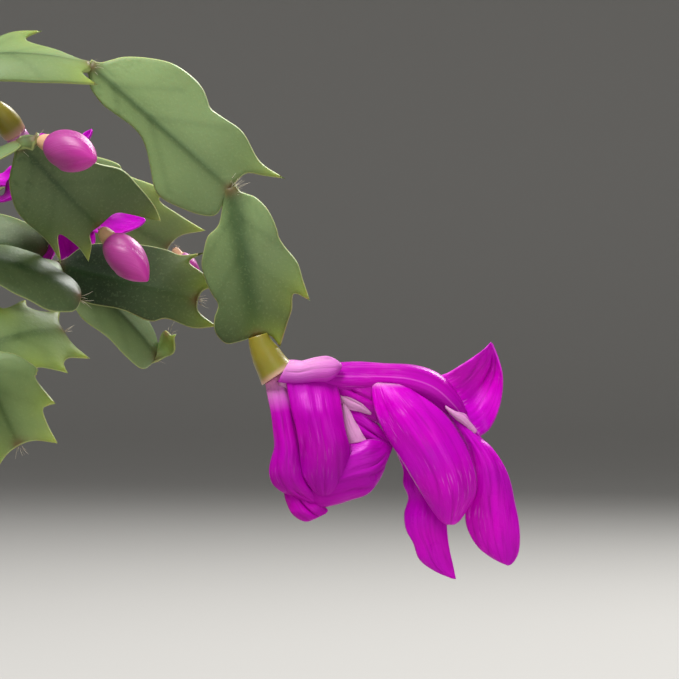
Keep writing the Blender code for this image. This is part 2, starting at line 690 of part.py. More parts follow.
def try_segment(plant, stem, parent, turn, lean, reach, shape, rng):
    """The first clear segment near the wanted direction, or none."""
    root = parent.tip if parent else stem["joint"]
    level = parent.level + 1 if parent else 0
    for attempt in range(ATTEMPTS):
        freedom = attempt / ATTEMPTS
        this_turn = turn + rng.uniform(-1, 1) * (LEAST_SWING + MORE_TURN * freedom)
        this_lean = lean + rng.uniform(-1, 1) * (LEAST_SWING + MORE_LEAN * freedom)
        roll = math.radians(rng.uniform(-1, 1) * (LEAST_ROLL + MORE_ROLL * freedom))
        direction = direction_of(this_turn, this_lean)
        level_side = UP.cross(direction).normalized()
        across = level_side * math.cos(roll) + direction.cross(level_side) * math.sin(roll)
        tip = root + direction * reach * rng.uniform(0.85, 1.1)
        segment = new_segment(root, tip, across, shape, rng, level, parent)
        if segment.normal.z < 0:
            segment.bow = -segment.bow
        tree, corners = segment_tree(segment)
        too_far = math.hypot(tip.x, tip.y) > REACH_LIMIT or tip.x > SEGMENT_SIDE
        if too_far or not clear_of_pot(corners):
            continue
        if not plant.is_clear(tree, relatives_of(segment, stem)):
            continue
        stem["segments"].append(segment)
        if not crosses_itself(stem_solid(stem)):
            plant.add_box(tree, segment)
            return segment
        stem["segments"].pop()
    return None


def grow_stem(plant, tier, turn, rng):
    """A stem rises, leans out more with each segment, and may fork on its way."""
    way = direction_of(turn, 90)
    foot = way * tier["distance"]
    joint = foot + UP * (SOIL_TOP + SOIL_CROWN) + direction_of(turn, tier["leans"][0]) * RISE_TO_JOINT
    stem = {"foot": (foot.x, foot.y), "joint": joint, "segments": []}
    open_ends = [(None, turn)]
    while open_ends and len(stem["segments"]) < tier["most"]:
        parent, way = open_ends.pop(0)
        depth = parent.level + 1 if parent else 0
        if depth >= len(tier["leans"]):
            continue
        shape = "old" if depth == 0 else "young"
        reach = (OLD_LENGTH if depth == 0 else YOUNG_LENGTH) * tier["length"]
        forks = depth in (2, 3) and rng.random() < FORK_CHANCE
        for side in ((-1, 1) if forks else (0,)):
            wanted = way + side * FORK_ANGLE
            made = try_segment(plant, stem, parent, wanted, tier["leans"][depth], reach, shape, rng)
            if made:
                open_ends.append((made, math.degrees(math.atan2(made.tip.y, made.tip.x))))
    if stem["segments"]:
        plant.stems.append(stem)


def free_tips(plant):
    """The segments that carry no other segment, with the furthest reaching first."""
    tips = []
    for stem in plant.stems:
        carriers = [segment.parent for segment in stem["segments"]]
        for segment in stem["segments"]:
            if all(segment is not carrier for carrier in carriers) and segment.level > 0:
                tips.append((stem, segment))
    return sorted(tips, key=lambda pair: -math.hypot(pair[1].tip.x, pair[1].tip.y))


def rod_box(start, axis, size):
    """A box round a bloom or bud that begins at start."""
    length, half = size
    side = axis.orthogonal().normalized()
    return box_tree((start + axis * 3, start + axis * length), side, axis.cross(side), half, half)


def hang_from(segment, lean_down, rng, freedom):
    """A direction that carries the segment's own on, and falls."""
    return (segment.direction - UP * lean_down + shaken(rng) * freedom).normalized()


def seat(segment, axis, radius):
    """Where a flower with a flat base starts, so that it just clears the segment's flat tip."""
    lift = radius * abs(axis.dot(segment.across)) + TIP_THICKNESS / 2 * abs(axis.dot(segment.normal))
    return segment.tip + axis * (TOUCHING_GAP + lift)


def foot_tree(start, axis, kind, scale):
    """The narrow lower part of a flower, which must clear the claws beside it."""
    tube = OVARY_PROFILE + [(PERIANTH_START + TUBE_LENGTH, MOUTH_RADIUS)]
    profile = [(along * scale, radius * scale + TOUCHING_GAP)
               for along, radius in (BUD_PROFILE if kind == "bud" else tube)]
    return BVHTree.FromBMesh(spindle(start, axis, profile, BUD_SIDES))


def add_flower(plant, segment, axis, kind, size, fresh=False, scale=1.0):
    profile = BUD_PROFILE if kind == "bud" else OVARY_PROFILE
    start = seat(segment, axis, profile[0][1] * scale)
    plant.flowers.append({"kind": kind, "start": start, "axis": axis, "segment": segment,
                          "fresh": fresh, "scale": scale})
    plant.add_box(rod_box(start, axis, size)[0], segment)


def place_flowers(plant):
    stem, index = LARGE_BLOOM_AT
    segment = plant.stems[stem]["segments"][index]
    add_flower(plant, segment, Vector(OVARY_END).normalized(), "large", OVARY_BOX)
    across_bloom = Vector(TUBE_RINGS[-1][:3]).normalized()
    plant.add_box(rod_box(segment.tip, across_bloom, LARGE_BOX)[0], segment)
    for (stem, index), axis, fresh in PLACED_BLOOMS:
        segment = plant.stems[stem]["segments"][index]
        add_flower(plant, segment, Vector(axis).normalized(), "bloom", BLOOM_BOX, fresh)
    for (stem, index), axis, scale in PLACED_BUDS:
        segment = plant.stems[stem]["segments"][index]
        size = (BUD_BOX[0] * scale, BUD_BOX[1] * scale)
        add_flower(plant, segment, Vector(axis).normalized(), "bud", size, False, scale)


def grow_flowers(plant, kind, wanted, size, lean_down, rng):
    """Flowers of one kind on the free tips that have room for them, the furthest tips first."""
    stems_used = []
    for stem, segment in free_tips(plant):
        taken = any(segment is flower["segment"] for flower in plant.flowers)
        used = kind == "bloom" and any(stem is other for other in stems_used)
        if wanted == 0 or taken or used or segment.tip.x > FLOWER_SIDE:
            continue
        own_stem = BVHTree.FromBMesh(stem_solid(stem))
        for attempt in range(ATTEMPTS):
            axis = hang_from(segment, lean_down, rng, LEAST_SWAY + MORE_SWAY * attempt / ATTEMPTS)
            scale = rng.uniform(*BUD_SCALES) if kind == "bud" else 1.0
            start = seat(segment, axis, OVARY_PROFILE[0][1] * scale)
            box, corners = rod_box(start, axis, (size[0] * scale, size[1] * scale))
            touches = foot_tree(start, axis, kind, scale).overlap(own_stem)
            if not touches and clear_of_pot(corners) and plant.is_clear(box, [segment]):
                add_flower(plant, segment, axis, kind, size, wanted % 2 == 0, scale)
                stems_used.append(stem)
                wanted -= 1
                break


def build_plant():
    rng = random.Random(GROWTH_SEED)
    plant = Plant()
    place_stems(plant, rng)
    place_flowers(plant)
    for tier in TIERS:
        for turn in tier["turns"]:
            grow_stem(plant, tier, turn, rng)
    grow_flowers(plant, "bloom", GROWN_BLOOMS, BLOOM_BOX, BLOOM_FALL, rng)
    grow_flowers(plant, "bud", GROWN_BUDS, BUD_BOX, BUD_FALL, rng)
    return plant


def make_stems(plant):
    for number, stem in enumerate(plant.stems, 1):
        new_object("stem_%02d" % number, stem_solid(stem), "stem")


# Petals, tubes, ovaries, stamens and buds

def add_petal(solid, rows, cup, root=None):
    """Add a thin petal through rows of (centre, direction of the width, half width).

    The last row is its end. A petal that grows from a tube starts from the two pairs of its root."""
    pairs = []
    for k, (centre, across, half) in enumerate(rows):
        if k == 0 and root:
            pairs.append(list(root))
            continue
        run = rows[min(k + 1, len(rows) - 1)][0] - rows[max(k - 1, 0)][0]
        normal = across.cross(run).normalized()
        points = [centre - across * half, centre + normal * cup, centre + across * half]
        if k == 0:
            points = [points[0], points[2]]
        if half == 0:
            points = [centre]
        pairs.append([add_pair(solid, point, normal * PETAL_THICKNESS / 2) for point in points])
    for near, far in zip(pairs, pairs[1:]):
        for corners in strip(near, far):
            add_both_faces(solid, corners)
    border = [row[0] for row in pairs] + [row[-1] for row in pairs[:-1]][::-1]
    for one, following in zip(border, border[1:]):
        add_wall(solid, one, following)
    if not root:
        add_wall(solid, border[-1], border[0])


def petal_solid(rows, cup):
    solid = bmesh.new()
    add_petal(solid, rows, cup)
    return solid


def facing_rows(start, rows, facing):
    """The rows of a petal that shows its broad side to a direction."""
    points = [start + Vector(row[:3]) for row in rows]
    made = []
    for k, row in enumerate(rows):
        run = points[min(k + 1, len(rows) - 1)] - points[max(k - 1, 0)]
        made.append((points[k], run.cross(facing).normalized(), row[3]))
    return made


def curling_rows(root, axis, out, shape, sag, rng):
    """The rows of a petal that flares from the axis, curls back and sags."""
    across = axis.cross(out).normalized()
    angle = math.radians(shape["flare"] + rng.uniform(-PETAL_SWAY, PETAL_SWAY))
    length = shape["length"] * rng.uniform(0.88, 1.08)
    made = [(root, across, 1)]
    point = root
    for before, share, width in zip(PETAL_SHARES, PETAL_SHARES[1:], PETAL_WIDTHS):
        run = axis * math.cos(angle) + out * math.sin(angle) - UP * sag * share
        point = point + run.normalized() * length * (share - before)
        angle += math.radians(shape["curl"]) * (share - before)
        made.append((point, across, shape["half"] * width))
    return made


def large_bloom(flower, number):
    start = flower["segment"].tip
    rings = []
    for k, (x, y, z, radius) in enumerate(TUBE_RINGS):
        before, after = TUBE_RINGS[max(k - 1, 0)], TUBE_RINGS[min(k + 1, len(TUBE_RINGS) - 1)]
        axis = Vector(after[:3]) - Vector(before[:3])
        if k == 0:
            axis = Vector(OVARY_END)
        rings.append(level_ring(start + Vector((x, y, z)), axis.normalized(), radius, TUBE_SIDES))
    solids = [rings_solid(rings)]
    solids += [petal_solid(facing_rows(start, rows, Vector((0, -1, 0))), HANGING_CUP)
               for rows in FRONT_PETALS]
    solids += [petal_solid(facing_rows(start, rows, Vector((0, 1, 0))), HANGING_CUP)
               for rows in BACK_PETALS]
    fused("bloom_%02d_petals" % number, solids, "petal")
    axis = flower["axis"]
    length = Vector(OVARY_END).length - (flower["start"] - start).length
    profile = LARGE_OVARY_PROFILE + [(length, LARGE_OVARY_RADIUS)]
    new_object("bloom_%02d_ovary" % number, spindle(flower["start"], axis, profile, TUBE_SIDES), "ovary")


def level_ring(centre, axis, radius, sides):
    """A ring of points whose first one lies level with its centre, so that rings line up."""
    side = axis.cross(UP).normalized()
    other = axis.cross(side).normalized()
    turns = [math.tau * k / sides for k in range(sides)]
    return [centre + radius * (side * math.cos(t) + other * math.sin(t)) for t in turns]


def tube_rings(solid, base, axis):
    """The rings of a bloom's tube: its base, two for the roots of the lower petals, and the outer
    and inner edge of its mouth."""
    stations = [(0, TUBE_BASE_RADIUS), (LOWER_TIER, LOWER_RADIUS),
                (LOWER_TIER + PETAL_THICKNESS, LOWER_RADIUS),
                (TUBE_LENGTH, MOUTH_RADIUS), (TUBE_LENGTH, MOUTH_RADIUS - PETAL_THICKNESS)]
    return [[solid.verts.new(point) for point in
             level_ring(base + axis * along, axis, radius, PETAL_SECTORS)] for along, radius in stations]


def bloom_solid(flower, sag, rng):
    """A closed tube with two tiers of petals that grow out of every second sector."""
    solid = bmesh.new()
    axis = flower["axis"]
    base = flower["start"] + axis * PERIANTH_START
    rings = tube_rings(solid, base, axis)
    solid.faces.new(rings[0])
    solid.faces.new(rings[-1])
    for tier, (lower, upper) in enumerate(zip(rings, rings[1:])):
        for k in range(PETAL_SECTORS):
            after = (k + 1) % PETAL_SECTORS
            if (tier == 1 and k % 2 == 0) or (tier == 3 and k % 2 == 1):
                root = ((lower[k], upper[k]), (lower[after], upper[after]))
                centre = (lower[k].co + lower[after].co + upper[k].co + upper[after].co) / 4
                out = centre - base
                out = (out - axis * out.dot(axis)).normalized()
                shape = LOWER_PETALS if tier == 1 else MOUTH_PETALS
                add_petal(solid, curling_rows(centre, axis, out, shape, sag, rng), PETAL_CUP, root)
            else:
                solid.faces.new((lower[k], lower[after], upper[after], upper[k]))
    return solid


def bloom(flower, number):
    rng = random.Random(number)
    sag = FRESH_SAG if flower["fresh"] else FADED_SAG
    solid = bloom_solid(flower, sag, rng)
    while crosses_itself(solid):
        sag *= LESS_SAG
        solid = bloom_solid(flower, sag, rng)
    new_object("bloom_%02d_petals" % number, solid, "petal")
    new_object("bloom_%02d_ovary" % number,
               spindle(flower["start"], flower["axis"], OVARY_PROFILE, TUBE_SIDES), "ovary")
    if flower["fresh"]:
        stamens(flower, number)


def stamens(flower, number):
    """A fan of filaments round the longer style, on one small plate in the mouth of the tube."""
    axis = flower["axis"]
    side = axis.cross(UP).normalized()
    top = side.cross(axis).normalized()
    foot = flower["start"] + axis * (PERIANTH_START + TUBE_LENGTH + TOUCHING_GAP)
    inside = foot + axis * PLATE_THICKNESS / 2
    solids = [spindle(foot, axis, [(0, PLATE_RADIUS), (PLATE_THICKNESS, PLATE_RADIUS)], TUBE_SIDES),
              spindle(inside, axis, STYLE_PROFILE, 4)]
    for k in range(STAMENS):
        spread = (k / (STAMENS - 1) - 0.5) * 2
        root = inside + side * spread * STAMEN_SPACING + top * STAMEN_RISE
        run = axis + side * spread * STAMEN_SPREAD + top * (STAMEN_LIFT - STAMEN_FAN * spread ** 2)
        solids.append(spindle(root, run.normalized(), STAMEN_PROFILE, 3))
    fused("bloom_%02d_stamens" % number, solids, "stamen")


def make_flowers(plant):
    blooms, buds = 0, 0
    for flower in plant.flowers:
        if flower["kind"] == "bud":
            buds += 1
            profile = [(along * flower["scale"], radius * flower["scale"]) for along, radius in BUD_PROFILE]
            new_object("bud_%02d" % buds, spindle(flower["start"], flower["axis"], profile, BUD_SIDES),
                       "bud")
            continue
        blooms += 1
        (large_bloom if flower["kind"] == "large" else bloom)(flower, blooms)


for old_object in list(bpy.data.objects):
    bpy.data.objects.remove(old_object)
cactus = build_plant()
make_pot()
make_soil([stem["foot"] for stem in cactus.stems])
make_stems(cactus)
make_flowers(cactus)
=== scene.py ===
# %% [markdown]
# # A potted Thanksgiving cactus, dressed for its portrait
#
# The plant stands in a clay pot and throws its chains of flat, toothed green segments out to all
# sides. Each chain arches over and hangs, and flowers or buds hang from its last segment. The CAD
# part holds every stem, flower and bud as a plain solid. This notebook builds a finer piece on each
# of them: rounded leaf edges, ribs, hairs, creased petals, bark, clay and crumbs of soil.

# %% The frame that every piece is built on
import math
import random

import bmesh
import bpy
import numpy as np
from mathutils import Matrix, Vector, noise
from mathutils.geometry import delaunay_2d_cdt
from mathutils.kdtree import KDTree


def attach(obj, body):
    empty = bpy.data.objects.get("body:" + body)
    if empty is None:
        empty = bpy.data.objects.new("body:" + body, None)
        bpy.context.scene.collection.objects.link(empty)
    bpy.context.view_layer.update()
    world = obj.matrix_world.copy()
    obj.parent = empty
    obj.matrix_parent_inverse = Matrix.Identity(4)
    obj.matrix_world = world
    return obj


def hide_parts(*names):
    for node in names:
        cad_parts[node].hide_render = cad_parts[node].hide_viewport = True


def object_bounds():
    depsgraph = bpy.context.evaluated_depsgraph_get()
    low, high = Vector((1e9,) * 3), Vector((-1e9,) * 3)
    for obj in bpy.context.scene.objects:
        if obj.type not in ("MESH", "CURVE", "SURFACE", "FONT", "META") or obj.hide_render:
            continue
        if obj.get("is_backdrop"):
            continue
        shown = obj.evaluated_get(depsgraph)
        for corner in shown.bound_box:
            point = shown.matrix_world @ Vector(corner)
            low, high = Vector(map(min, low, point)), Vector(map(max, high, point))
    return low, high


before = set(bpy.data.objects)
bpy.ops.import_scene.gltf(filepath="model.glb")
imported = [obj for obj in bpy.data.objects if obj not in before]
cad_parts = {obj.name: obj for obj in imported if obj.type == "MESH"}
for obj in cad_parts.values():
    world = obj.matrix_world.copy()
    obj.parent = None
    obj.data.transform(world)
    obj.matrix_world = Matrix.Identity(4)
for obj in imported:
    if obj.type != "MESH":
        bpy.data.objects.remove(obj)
cad_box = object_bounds()
MM = 0.001
print("CAD nodes:", len(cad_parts))

# %% [markdown]
# ## Where the photographer stood
#
# One long arm of the plant was photographed from the side, level with it, through a long lens. The
# camera is made first, because the petals of the large bloom are laid out as the camera sees them:
# `seen` turns a place in the picture and a depth into a point in millimetres. A table of measured
# points would do the same, but the picture's own places are easier to compare with the render.

# %% The camera
PICTURE = 679
CAMERA_AT = Vector((175.4, -989, 156))
FRAME_WIDTH = 178.0


def make_camera():
    data = bpy.data.cameras.new("camera")
    data.sensor_width = 36
    data.lens = 36 * -CAMERA_AT.y / FRAME_WIDTH
    camera = bpy.data.objects.new("camera", data)
    camera.location = CAMERA_AT * MM
    camera.rotation_euler = (math.radians(90), 0, 0)
    bpy.context.scene.collection.objects.link(camera)
    bpy.context.scene.camera = camera


def seen(x, y, depth=0.0):
    """The point in millimetres that shows at a place in the picture, at a depth behind the middle."""
    share = (depth - CAMERA_AT.y) / -CAMERA_AT.y
    step = FRAME_WIDTH / PICTURE * share
    return CAMERA_AT + Vector(((x - PICTURE / 2) * step, depth - CAMERA_AT.y, -(y - PICTURE / 2) * step))


make_camera()
print("the long arm's joint is at", tuple(round(c) for c in seen(231, 194)))

# %% [markdown]
# ## One way to make every piece
#
# Each piece of the plant is made of closed shells: leaves, petals, tubes and grains. A shell is kept
# as its points, its faces, the number of its material and a few values per point, such as how near
# the point lies to an edge. The materials read those values, so that ribs, rims and pale petal roots
# stay exactly where the shape has them, which a pattern in space could not do.

# %% Shells and pieces
VALUES = ("edge", "rib", "tooth", "felt", "age", "shade", "along", "across", "pale")


def shell(points, faces, finish=0, **values):
    return {"points": np.array(points, float), "faces": faces, "finish": finish, "values": values}


def make_piece(name, shells, materials, stands_for=()):
    """One smooth object from shells in millimetres, riding on the plant."""
    points, faces, finishes = [], [], []
    values = {key: [] for key in VALUES}
    for part in shells:
        start = sum(len(p) for p in points)
        points.append(part["points"])
        faces += [tuple(start + k for k in face) for face in part["faces"]]
        finishes += [part["finish"]] * len(part["faces"])
        for key in VALUES:
            values[key].append(np.zeros(len(part["points"])) + part["values"].get(key, 0))
    mesh = bpy.data.meshes.new(name)
    mesh.from_pydata((np.vstack(points) * MM).tolist(), [], faces)
    mesh.polygons.foreach_set("material_index", finishes)
    mesh.polygons.foreach_set("use_smooth", [True] * len(faces))
    for key in VALUES:
        data = np.concatenate(values[key])
        if data.any():
            mesh.attributes.new(key, "FLOAT", "POINT").data.foreach_set("value", data)
    for made in materials:
        mesh.materials.append(made)
    piece = bpy.data.objects.new(name, mesh)
    bpy.context.scene.collection.objects.link(piece)
    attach(piece, "root")
    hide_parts(*stands_for)
    return piece


# %% Smooth lines through a few points
def curve_through(points, spacing):
    """Points at about even spacing on a smooth curve through the given ones, in any dimension."""
    points = np.array(points, float)
    before = np.vstack([2 * points[0] - points[1], points[:-1]])
    after = np.vstack([points[1:], 2 * points[-1] - points[-2]])
    line = [points[:1]]
    for k in range(len(points) - 1):
        p0, p1, p2, p3 = before[k], points[k], points[k + 1], after[k + 1]
        one, two, three = [max(np.linalg.norm(b - a), 1e-6) ** 0.5 for a, b in
                           ((p0, p1), (p1, p2), (p2, p3))]
        leave = ((p1 - p0) / one - (p2 - p0) / (one + two) + (p2 - p1) / two) * two
        arrive = ((p2 - p1) / two - (p3 - p1) / (two + three) + (p3 - p2) / three) * two
        count = max(1, round(np.linalg.norm(p2 - p1) / spacing))
        t = np.arange(1, count + 1)[:, None] / count
        line.append((2 * t ** 3 - 3 * t ** 2 + 1) * p1 + (t ** 3 - 2 * t ** 2 + t) * leave
                    + (3 * t ** 2 - 2 * t ** 3) * p2 + (t ** 3 - t ** 2) * arrive)
    return np.vstack(line)


def evenly(rows, count):
    """Rows of numbers that run evenly along a smooth curve through the given rows."""
    line = curve_through(rows, 0.3)
    travel = np.concatenate([[0], np.cumsum(np.linalg.norm(np.diff(line, axis=0), axis=1))])
    wanted = np.linspace(0, travel[-1], count)
    return np.array([np.interp(wanted, travel, column) for column in line.T]).T


# %% [markdown]
# ## Colour that wanders
#
# No leaf or petal has one even colour. Three effects come back in nearly every finish here, so each
# is a shader group, built once: soft blotches, fine grain for the bump, and streaks that follow a
# petal or a bud from root to tip. The streaks read the piece's own `along` and `across` values.

# %% The shared effects
def new_group(name, inputs, output):
    tree = bpy.data.node_groups.new(name, "ShaderNodeTree")
    for label, value in inputs.items():
        made = tree.interface.new_socket(name=label, in_out="INPUT", socket_type="NodeSocketFloat")
        made.default_value = value
    tree.interface.new_socket(name=output, in_out="OUTPUT", socket_type="NodeSocketFloat")
    return tree, tree.nodes.new("NodeGroupInput"), tree.nodes.new("NodeGroupOutput")


def math_node(tree, operation, first, second=None):
    node = tree.nodes.new("ShaderNodeMath")
    node.operation = operation
    for socket, value in zip(node.inputs, (first, second)):
        if isinstance(value, bpy.types.NodeSocket):
            tree.links.new(value, socket)
        elif value is not None:
            socket.default_value = value
    return node.outputs[0]


def attribute(tree, name):
    node = tree.nodes.new("ShaderNodeAttribute")
    node.attribute_name = name
    return node.outputs["Fac"]


def noise_node(tree, scale, detail, vector=None):
    node = tree.nodes.new("ShaderNodeTexNoise")
    node.inputs["Detail"].default_value = detail
    if isinstance(scale, bpy.types.NodeSocket):
        tree.links.new(scale, node.inputs["Scale"])
    else:
        node.inputs["Scale"].default_value = scale
    tree.links.new(vector or tree.nodes.new("ShaderNodeTexCoord").outputs["Object"],
                   node.inputs["Vector"])
    return node.outputs["Fac"]


def blotch_group():
    """Soft blotches: 0 to 1, with a chosen size and edge."""
    tree, given, made = new_group("soft blotches", {"Per metre": 60.0, "Edge": 0.3}, "Mask")
    cloud = noise_node(tree, given.outputs["Per metre"], 4)
    spread = math_node(tree, "DIVIDE", math_node(tree, "SUBTRACT", cloud, 0.5), given.outputs["Edge"])
    mask = math_node(tree, "ADD", spread, 0.5)
    mask.node.use_clamp = True
    tree.links.new(mask, made.inputs["Mask"])
    return tree


def grain_group():
    """Fine grain for a bump: pores and lumps at two sizes."""
    tree, given, made = new_group("fine grain", {"Per metre": 900.0, "Lumps": 0.5}, "Height")
    fine = noise_node(tree, given.outputs["Per metre"], 3)
    coarse = noise_node(tree, math_node(tree, "MULTIPLY", given.outputs["Per metre"], 0.17), 2)
    lumps = math_node(tree, "MULTIPLY", coarse, given.outputs["Lumps"])
    tree.links.new(math_node(tree, "ADD", fine, lumps), made.inputs["Height"])
    return tree


def streak_group():
    """Streaks that run from root to tip: 0 to 1."""
    tree, given, made = new_group("petal streaks", {"Count": 9.0, "Length": 1.2}, "Mask")
    place = tree.nodes.new("ShaderNodeCombineXYZ")
    tree.links.new(math_node(tree, "MULTIPLY", attribute(tree, "across"), given.outputs["Count"]),
                   place.inputs["X"])
    tree.links.new(math_node(tree, "MULTIPLY", attribute(tree, "along"), given.outputs["Length"]),
                   place.inputs["Y"])
    tree.links.new(math_node(tree, "MULTIPLY", attribute(tree, "shade"), 31.0), place.inputs["Z"])
    tree.links.new(noise_node(tree, 1.0, 3, place.outputs[0]), made.inputs["Mask"])
    return tree


BLOTCHES, GRAIN, STREAKS = blotch_group(), grain_group(), streak_group()
print("shared effects:", [tree.name for tree in (BLOTCHES, GRAIN, STREAKS)])


# %% How a finish is put together
def from_hex(code):
    """A colour as it looks on a screen, turned into the linear values that the shader takes."""
    parts = [int(code[k:k + 2], 16) / 255 for k in (0, 2, 4)]
    return tuple(c / 12.92 if c <= 0.04045 else ((c + 0.055) / 1.055) ** 2.4 for c in parts) + (1,)


class Finish:
    """A material under construction. Each step lays something over the colour so far."""

    def __init__(self, name, colour, **constants):
        self.material = bpy.data.materials.new(name)
        self.material.use_nodes = True
        self.tree = self.material.node_tree
        self.shader = self.tree.nodes["Principled BSDF"]
        for label, value in constants.items():
            self.shader.inputs[label.replace("_", " ")].default_value = value
        self.colour = self.plain(colour)

    def plain(self, code):
        node = self.tree.nodes.new("ShaderNodeRGB")
        node.outputs[0].default_value = from_hex(code)
        return node.outputs[0]

    def effect(self, group, **values):
        node = self.tree.nodes.new("ShaderNodeGroup")
        node.node_tree = group
        for label, value in values.items():
            node.inputs[label.replace("_", " ")].default_value = value
        return node.outputs[0]

    def value(self, name):
        return attribute(self.tree, name)

    def math(self, operation, first, second=None):
        return math_node(self.tree, operation, first, second)

    def ramp(self, source, low, high):
        """A mask that goes from 0 at low to 1 at high."""
        node = self.tree.nodes.new("ShaderNodeMapRange")
        node.interpolation_type = "SMOOTHSTEP"
        node.inputs["From Min"].default_value = low
        node.inputs["From Max"].default_value = high
        self.tree.links.new(source, node.inputs["Value"])
        return node.outputs["Result"]

    def lay(self, code, mask, most=1.0):
        """Lay a colour over the one so far, where the mask is high."""
        node = self.tree.nodes.new("ShaderNodeMix")
        node.data_type = "RGBA"
        self.tree.links.new(self.math("MULTIPLY", mask, most), node.inputs["Factor"])
        self.tree.links.new(self.colour, node.inputs[6])
        self.tree.links.new(self.plain(code), node.inputs[7])
        self.colour = node.outputs[2]

    def roughness(self, low, high, mask):
        node = self.tree.nodes.new("ShaderNodeMapRange")
        node.inputs["To Min"].default_value = low
        node.inputs["To Max"].default_value = high
        self.tree.links.new(mask, node.inputs["Value"])
        self.tree.links.new(node.outputs["Result"], self.shader.inputs["Roughness"])

    def bump(self, height, depth_mm, strength=0.6):
        node = self.tree.nodes.new("ShaderNodeBump")
        node.inputs["Strength"].default_value = strength
        node.inputs["Distance"].default_value = depth_mm * MM
        self.tree.links.new(height, node.inputs["Height"])
        self.tree.links.new(node.outputs["Normal"], self.shader.inputs["Normal"])

    def done(self):
        self.tree.links.new(self.colour, self.shader.inputs["Base Color"])
        return self.material

# %% [markdown]
# ## Leaf green
#
# What look like leaves are flattened stems. Their skin is a matt sage green with a faint bloom,
# darker along the rib, paler at the rim, yellow-green at the tips of the teeth and brown where
# one segment joins the next. The oldest ones turn woody. The pale rim is partly the margin's own
# colour and partly a painted rim highlight. The darker green of some segments, and towards their
# tips, is partly their own tone and partly painted shade, and the wrinkles get painted shade in
# their creases. All of that is one material, because each point carries its distance from the rim
# and its nearness to rib, tooth and joint.

# %% Leaf, wood and hair
def leaf_finish():
    finish = Finish("leaf_skin", "8EA66C", Subsurface_Weight=0.12, Subsurface_Scale=0.002,
                    Specular_IOR_Level=0.32)
    blotches = finish.effect(BLOTCHES, Per_metre=55, Edge=0.45)
    finish.lay("6F8C4C", blotches, 0.3)
    # Painted shade over each segment's own tone: dark green where the `shade` value is high
    finish.lay("1A2C10", finish.value("shade"), 1.0)
    # Dark green along the rib and veins, their own colour, and in the wrinkle dents, where it is painted
    # shade
    finish.lay("24401A", finish.value("rib"), 0.75)
    speckles = finish.ramp(finish.effect(GRAIN, Per_metre=1500, Lumps=0), 0.56, 0.66)
    finish.lay("AEC088", speckles, 0.07)
    finish.lay("B0C444", finish.value("tooth"), 0.85)
    bark = finish.effect(BLOTCHES, Per_metre=260, Edge=0.25)
    finish.lay("7A6A45", finish.math("MULTIPLY", finish.value("age"), finish.ramp(bark, 0.1, 0.9)), 0.85)
    finish.lay("6B4A2C", finish.value("felt"), 0.85)
    # Painted rim highlight over the margin's own paler green: pale near the edge
    rim = finish.ramp(finish.value("edge"), 0.3, 0.05)
    finish.lay("C4D286", rim, 0.58)
    finish.roughness(0.44, 0.62, blotches)
    finish.bump(finish.effect(GRAIN, Per_metre=1100, Lumps=1.4), 0.12)
    return finish.done()


def wood_finish():
    finish = Finish("stem_wood", "7B6647", Specular_IOR_Level=0.3)
    finish.lay("4A3A27", finish.effect(BLOTCHES, Per_metre=420, Edge=0.2), 0.8)
    finish.lay("6E7B48", finish.effect(BLOTCHES, Per_metre=110, Edge=0.3), 0.45)
    finish.roughness(0.7, 0.9, finish.effect(BLOTCHES, Per_metre=200, Edge=0.5))
    finish.bump(finish.effect(GRAIN, Per_metre=700, Lumps=1.0), 0.5, 1.0)
    return finish.done()


def hair_finish():
    finish = Finish("joint_hair", "D8CFB8", Specular_IOR_Level=0.3)
    finish.lay("8A6B48", finish.ramp(finish.value("along"), 0.5, 0.0), 0.8)
    finish.roughness(0.5, 0.6, finish.value("along"))
    return finish.done()


LEAF, WOOD, HAIR = leaf_finish(), wood_finish(), hair_finish()
print("stem finishes:", LEAF.name, WOOD.name, HAIR.name)

# %% [markdown]
# ## The outline of a segment
#
# A young segment has soft teeth along its sides and a claw on each side of its blunt tip. Only the
# teeth are sharp: between them the edge swings in smooth curves. So each side is cut at its teeth,
# and a smooth line runs through the points of each stretch. The segments that stand out in the
# photograph have outlines of their own, as (along, out) in millimetres.

